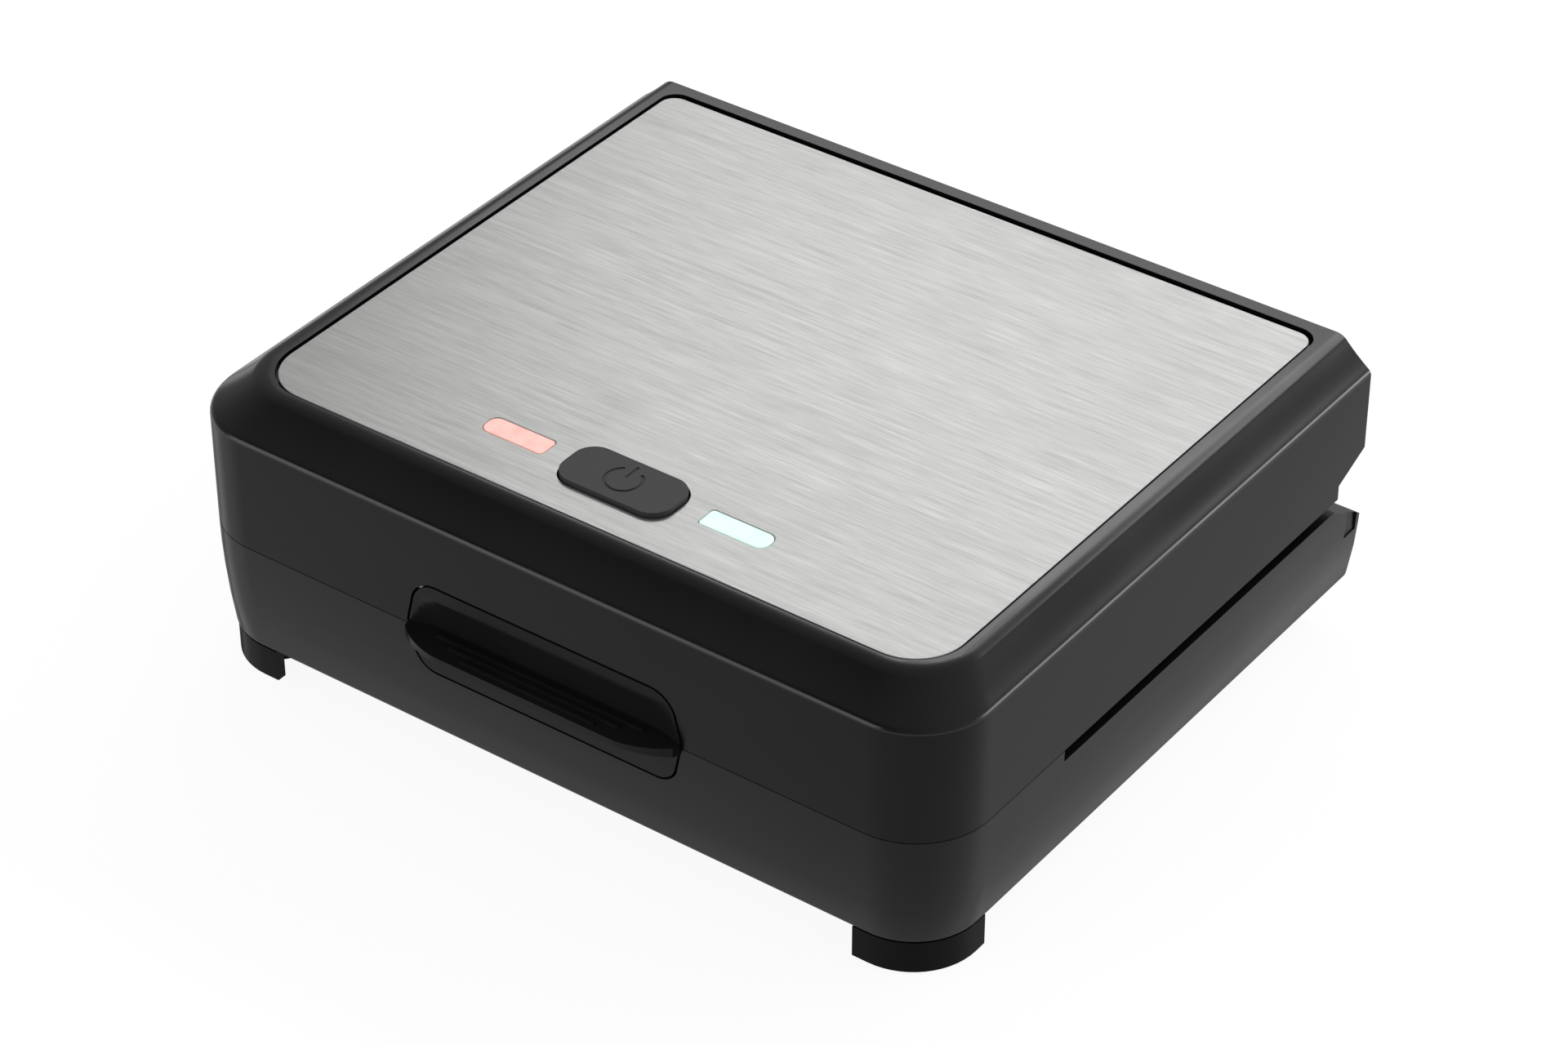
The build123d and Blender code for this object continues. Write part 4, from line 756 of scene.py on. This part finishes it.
# Lip: narrower in front, and thinner there because its underside slopes up
LIP_FRONT = FRONT - 9.0
LIP_BOTTOM = 44.0
LIP_SHOULDER = 44.8
LIP_TIP = 37.0
LIP_EDGE = 1.6
half_lip = [(LATCH_HALF_LIP, FRONT + 1), (LATCH_HALF_LIP, FRONT), (LIP_SHOULDER, FRONT - 2.5),
            (LIP_TIP, LIP_FRONT)]
lip_points = [(-x, y, LIP_BOTTOM) for x, y in half_lip]
lip_points += [(x, y, LIP_BOTTOM) for x, y in reversed(half_lip)]
lip = prism("lip", lip_points, (0, 0, LATCH_LIP - LIP_BOTTOM), [(3, 8), (4, 8)], 10)
under = [(-PAST_LATCH, LIP_FRONT - 1, LIP_BOTTOM - 1), (-PAST_LATCH, LIP_FRONT - 1, LATCH_LIP - LIP_EDGE),
         (-PAST_LATCH, FRONT, LIP_BOTTOM), (-PAST_LATCH, FRONT, LIP_BOTTOM - 1)]
combine(lip, [prism("under", under, (2 * PAST_LATCH, 0, 0))], "DIFFERENCE")
combine(latch, [lip], "UNION")

# Ribs on the lip, and behind the face two hooks, two barrels on the pin and two spring tails
RIB_SETBACK = 1.4
RIB_PITCH = 2.7
RIB_HALF_LENGTH = 34.5
RIB_STEP = 6.0
RIB_HALF_WIDTH = 0.4
RIB_HEIGHT = 0.7
HOOK_HALF = 4.0
HOOK_PROFILE = ((-99.2, 35), (-93, 35), (-93, 36.4), (-94.6, 38), (-99.2, 38))
PIN_Y = -97.8
PIN_Z = 58.6
BORE_RADIUS = 1.56
BARREL_X = 22.5
BARREL_RADIUS = 2.6
BARREL_LENGTH = 25.0
TAIL_X = 14.0
TAIL_HALF = 3.5
TAIL_FRONT = -96.0
TAIL_BACK = -86.0
TAIL_THICK = 2.2
details = []
for i in range(3):
    y = FRONT - RIB_SETBACK - RIB_PITCH * i
    half = RIB_HALF_LENGTH - RIB_STEP * i
    details.append(box("rib", -half, half, y - RIB_HALF_WIDTH, y + RIB_HALF_WIDTH, LATCH_LIP - 0.4,
                       LATCH_LIP + RIB_HEIGHT))
for side in (-1, 1):
    hook = [(side * HOOK_X - HOOK_HALF, y, z) for y, z in HOOK_PROFILE]
    details.append(prism("hook", hook, (2 * HOOK_HALF, 0, 0)))
    details.append(rod("barrel", (side * BARREL_X, PIN_Y, PIN_Z), BARREL_RADIUS, BARREL_LENGTH, "X"))
    details.append(box("tail", side * TAIL_X - TAIL_HALF, side * TAIL_X + TAIL_HALF, TAIL_FRONT, TAIL_BACK,
                       PIN_Z, PIN_Z + TAIL_THICK))
combine(latch, details, "UNION")
combine(latch, [rod("bore", (0, PIN_Y, PIN_Z), BORE_RADIUS, 2 * PAST_LATCH, "X")], "DIFFERENCE")
soften(latch, 0.4, 3)
finish(latch, dull_abs, "black_plastic", "latch", "latch")


# Feet: ABS skirts that follow the base's outline at the front corners, and round feet set
# further in at the rear. Each has a cup for a rubber pad and a screw up into the bottom cover.
FOOT_BOTTOM = 0.8
FOOT_TOP = 10.6
FOOT_SETBACK = 17.0
SKIRT_INSET = 2.9
SKIRT_WALL = 3.0
SKIRT_ROOM_TOP = 8.6
SKIRT_LENGTH = 28.0
SKIRT_DEPTH = 27.0
CUP_RADIUS = 9.1
CUP_MIDDLE = 5.25
CUP_LENGTH = 7.7
REAR_FOOT_INSET = 30.0
REAR_FOOT_RADII = (9.6, 12.0)
REAR_FOOT_LENGTH = 9.8
# Radius and top of the room for the pad, the screw's head and the screw
FOOT_BORES = ((7.6, 4.0), (3.1, 6.0), (1.55, 12.0))
# ABS with a plain matt grain, since feet get no finish for show
foot_abs = moulded("black_abs_foot_moulded", ("#0C0C0D", "#101011"), 0.38, 0.9, 0.008, 0.06)
for side, side_name in ((-1, "left"), (1, "right")):
    x, y = side * (HALF_WIDTH - FOOT_SETBACK), FRONT + FOOT_SETBACK
    xs = sorted((side * HALF_WIDTH, side * (HALF_WIDTH - SKIRT_LENGTH)))
    skirt = stacked("foot_skirt_" + side_name, [base_line(SKIRT_INSET, z) for z in (FOOT_BOTTOM, FOOT_TOP)])
    room = [base_line(SKIRT_INSET + SKIRT_WALL, z) for z in (-1, SKIRT_ROOM_TOP)]
    combine(skirt, [stacked("hollow", room)], "DIFFERENCE")
    combine(skirt, [rod("cup", (x, y, CUP_MIDDLE), CUP_RADIUS, CUP_LENGTH, "Z")], "UNION")
    combine(skirt, [box("corner", xs[0], xs[1], FRONT, FRONT + SKIRT_DEPTH, 0, 20)], "INTERSECT")
    rear_x, rear_y = side * (HALF_WIDTH - REAR_FOOT_INSET), BACK - FOOT_SETBACK
    mesh = bmesh.new()
    bmesh.ops.create_cone(mesh, cap_ends=True, segments=64, radius1=REAR_FOOT_RADII[0] * MM,
                          radius2=REAR_FOOT_RADII[1] * MM, depth=REAR_FOOT_LENGTH * MM)
    rear_middle = Vector((rear_x, rear_y, FOOT_BOTTOM + REAR_FOOT_LENGTH / 2))
    bmesh.ops.translate(mesh, vec=rear_middle * MM, verts=mesh.verts)
    round_foot = object_from(mesh, "foot_round_" + side_name)
    for foot, foot_x, foot_y, node in ((skirt, x, y, "foot_front_"),
                                       (round_foot, rear_x, rear_y, "foot_rear_")):
        for radius, top in FOOT_BORES:
            bore = rod("pad_room", (foot_x, foot_y, top / 2 - 1), radius, top + 2, "Z")
            combine(foot, [bore], "DIFFERENCE")
        soften(foot, 0.4, 3)
        finish(foot, foot_abs, "black_plastic", "base", node + side_name)


# Pieces turned, pressed or bent to the solid model's own shape. A copy of the solid is merged
# and its sharp edges are rounded, and it gets the finish of the real piece.
PATCH_WIDTH = 16.667


def copy_of(node, name, width):
    """Merged copy of a solid of the frame, with its edges rounded."""
    original = bpy.data.objects[node]
    made = bpy.data.objects.new(name, original.data.copy())
    scene.collection.objects.link(made)
    made.matrix_world = original.matrix_world
    soften(made, width)
    return made


def metal(name, colours, rough, grain_mm, depth):
    """Bare or plated metal with fine tool marks and patches of changing gloss."""
    material, tree = new_material(name)
    place = add(tree, "TexCoord")
    marks = add(tree, "TexNoise", {"Vector": place.outputs["Object"], "Scale": 1 / (grain_mm * MM),
                                   "Detail": 3.0})
    patch = add(tree, "TexNoise", {"Vector": place.outputs["Object"], "Scale": 1 / (PATCH_WIDTH * MM),
                                   "Detail": 2.0})
    gloss = add(tree, "MapRange", {"Value": patch.outputs["Fac"], "From Min": 0.3, "From Max": 0.7,
                                   "To Min": rough - 0.05, "To Max": rough + 0.05})
    tint = add(tree, "ValToRGB", {0: patch.outputs["Fac"]},
               ((0.3, linear(colours[0])), (0.7, linear(colours[1]))))
    bump = add(tree, "Bump", {"Height": marks.outputs["Fac"], "Strength": 0.4, "Distance": depth * MM})
    surface = add(tree, "BsdfPrincipled", {"Base Color": tint.outputs[0], "Metallic": 1.0,
                                           "Roughness": gloss.outputs[0], "Normal": bump.outputs[0]})
    add(tree, "OutputMaterial", {"Surface": surface.outputs[0]})
    return material


# Zinc plate on steel is bluish and slightly cloudy; spring wire is drawn and darker; the heating
# rods are steel that has gone brown with heat; the shields are mill-finish aluminium sheet, which
# is pale and even; the screws of the terminals are brass, which is yellow and bright.
zinc = metal("zinc_plated_steel", ("#B9BEC4", "#D2D5D8"), 0.30, 0.5, 0.004)
spring_wire = metal("drawn_spring_steel", ("#8F9194", "#A9ABAD"), 0.27, 0.25, 0.002)
hot_steel = metal("heating_rod_steel_browned", ("#57504A", "#7C736A"), 0.46, 0.4, 0.006)
mill_aluminium = metal("aluminium_sheet_mill_finish", ("#C4C6C7", "#D8D9DA"), 0.38, 0.9, 0.006)
brass = metal("terminal_brass", ("#C9A85A", "#D9BC72"), 0.32, 0.4, 0.003)
# PTFE coat on cast aluminium: charcoal, semi-gloss, with the fine pebble of a sprayed coat
nonstick = moulded("ptfe_nonstick_coat_on_cast_aluminium", ("#1C1C1D", "#242425"), 0.34, 0.45, 0.010, 0.55)
# Glass-filled polyester: harder and more matt than ABS, it stands the heat of the plates
frame_plastic = moulded("glass_filled_polyester_black", ("#161616", "#1E1E1E"), 0.58, 0.5, 0.020, 0.35)
# Rubber is dead matt, unglazed ceramic is chalky and pale, the board shows its green varnish,
# and the lamps are cast in clear epoxy with a smooth skin
rubber = moulded("moulded_rubber_black", ("#111111", "#191918"), 0.72, 0.35, 0.020, 0.25)
ceramic = moulded("steatite_ceramic_unglazed", ("#DDD8CC", "#E9E5DB"), 0.62, 0.3, 0.010, 0.4)
laminate = moulded("glass_epoxy_board_green", ("#1F5A35", "#2A6E43"), 0.36, 0.5, 0.004, 0.5)
epoxy = moulded("led_epoxy_water_clear", ("#E6E8E4", "#F2F3F0"), 0.12, 2.0, 0.001, 0.6)

for node, name, material, slot, body, width in (
        ("lower_frame", "lower_frame_moulding", frame_plastic, "frame_plastic", "base", 0.4),
        ("upper_frame", "upper_frame_moulding", frame_plastic, "frame_plastic", "lid", 0.4),
        ("lower_cooking_plate", "lower_pan_casting", nonstick, "nonstick", "base", 0.8),
        ("upper_cooking_plate", "upper_pan_casting", nonstick, "nonstick", "lid", 0.8),
        ("lower_heat_shield", "lower_shield_sheet", mill_aluminium, "shield_aluminium", "base", 0.2),
        ("upper_heat_shield", "upper_shield_sheet", mill_aluminium, "shield_aluminium", "lid", 0.2),
        ("bottom_cover", "bottom_cover_moulding", black_abs, "black_plastic", "base", 0.35),
        ("hinge_pin_left", "hinge_pin_turned_left", zinc, "zinc_steel", "base", 0.25),
        ("hinge_pin_right", "hinge_pin_turned_right", zinc, "zinc_steel", "base", 0.25),
        ("latch_pin", "latch_pin_turned", zinc, "zinc_steel", "lid", 0.25),
        ("foot_pads", "foot_pad_rubber", rubber, "rubber", "base", 0.5),
        ("cord_bush", "cord_bush_rubber", rubber, "rubber", "base", 0.4),
        ("terminal_block", "terminal_block_ceramic", ceramic, "ceramic", "base", 0.3),
        ("thermostat", "thermostat_ceramic", ceramic, "ceramic", "base", 0.3),
        ("thermostat_bracket", "thermostat_bracket_bent", zinc, "zinc_steel", "base", 0.15),
        ("lamp_board", "lamp_board_laminate", laminate, "board", "lid", 0.1),
        ("signal_lamps", "signal_lamp_epoxy", epoxy, "lamp_epoxy", "lid", 0.1),
        ("push_switch", "push_switch_body", black_abs, "black_plastic", "lid", 0.2),
        ("base_screws", "base_screws_zinc", zinc, "zinc_steel", "base", 0.2),
        ("foot_screws", "foot_screws_zinc", zinc, "zinc_steel", "base", 0.2),
        ("lid_screws", "lid_screws_zinc", zinc, "zinc_steel", "lid", 0.2),
        ("lower_element_clamps", "lower_clamps_bent", zinc, "zinc_steel", "base", 0.15),
        ("upper_element_clamps", "upper_clamps_bent", zinc, "zinc_steel", "lid", 0.15),
):
    piece = copy_of(node, name, width)
    finish(piece, material, slot, body, node)

# The rest stay as the solids are and only get the finish of the real piece
for node, material in (
        ("lower_heating_element", hot_steel), ("upper_heating_element", hot_steel), ("thermal_fuse", zinc),
        ("fuse_clip", spring_wire), ("button_spring", spring_wire), ("latch_springs", spring_wire),
        ("board_screws", zinc), ("lower_plate_screws", zinc), ("upper_plate_screws", zinc),
        ("lower_clamp_screws", zinc), ("upper_clamp_screws", zinc), ("lower_shield_screws", zinc),
        ("upper_shield_screws", zinc), ("terminal_screws", brass)):
    for filling in bpy.data.objects[node].material_slots:
        filling.material = material
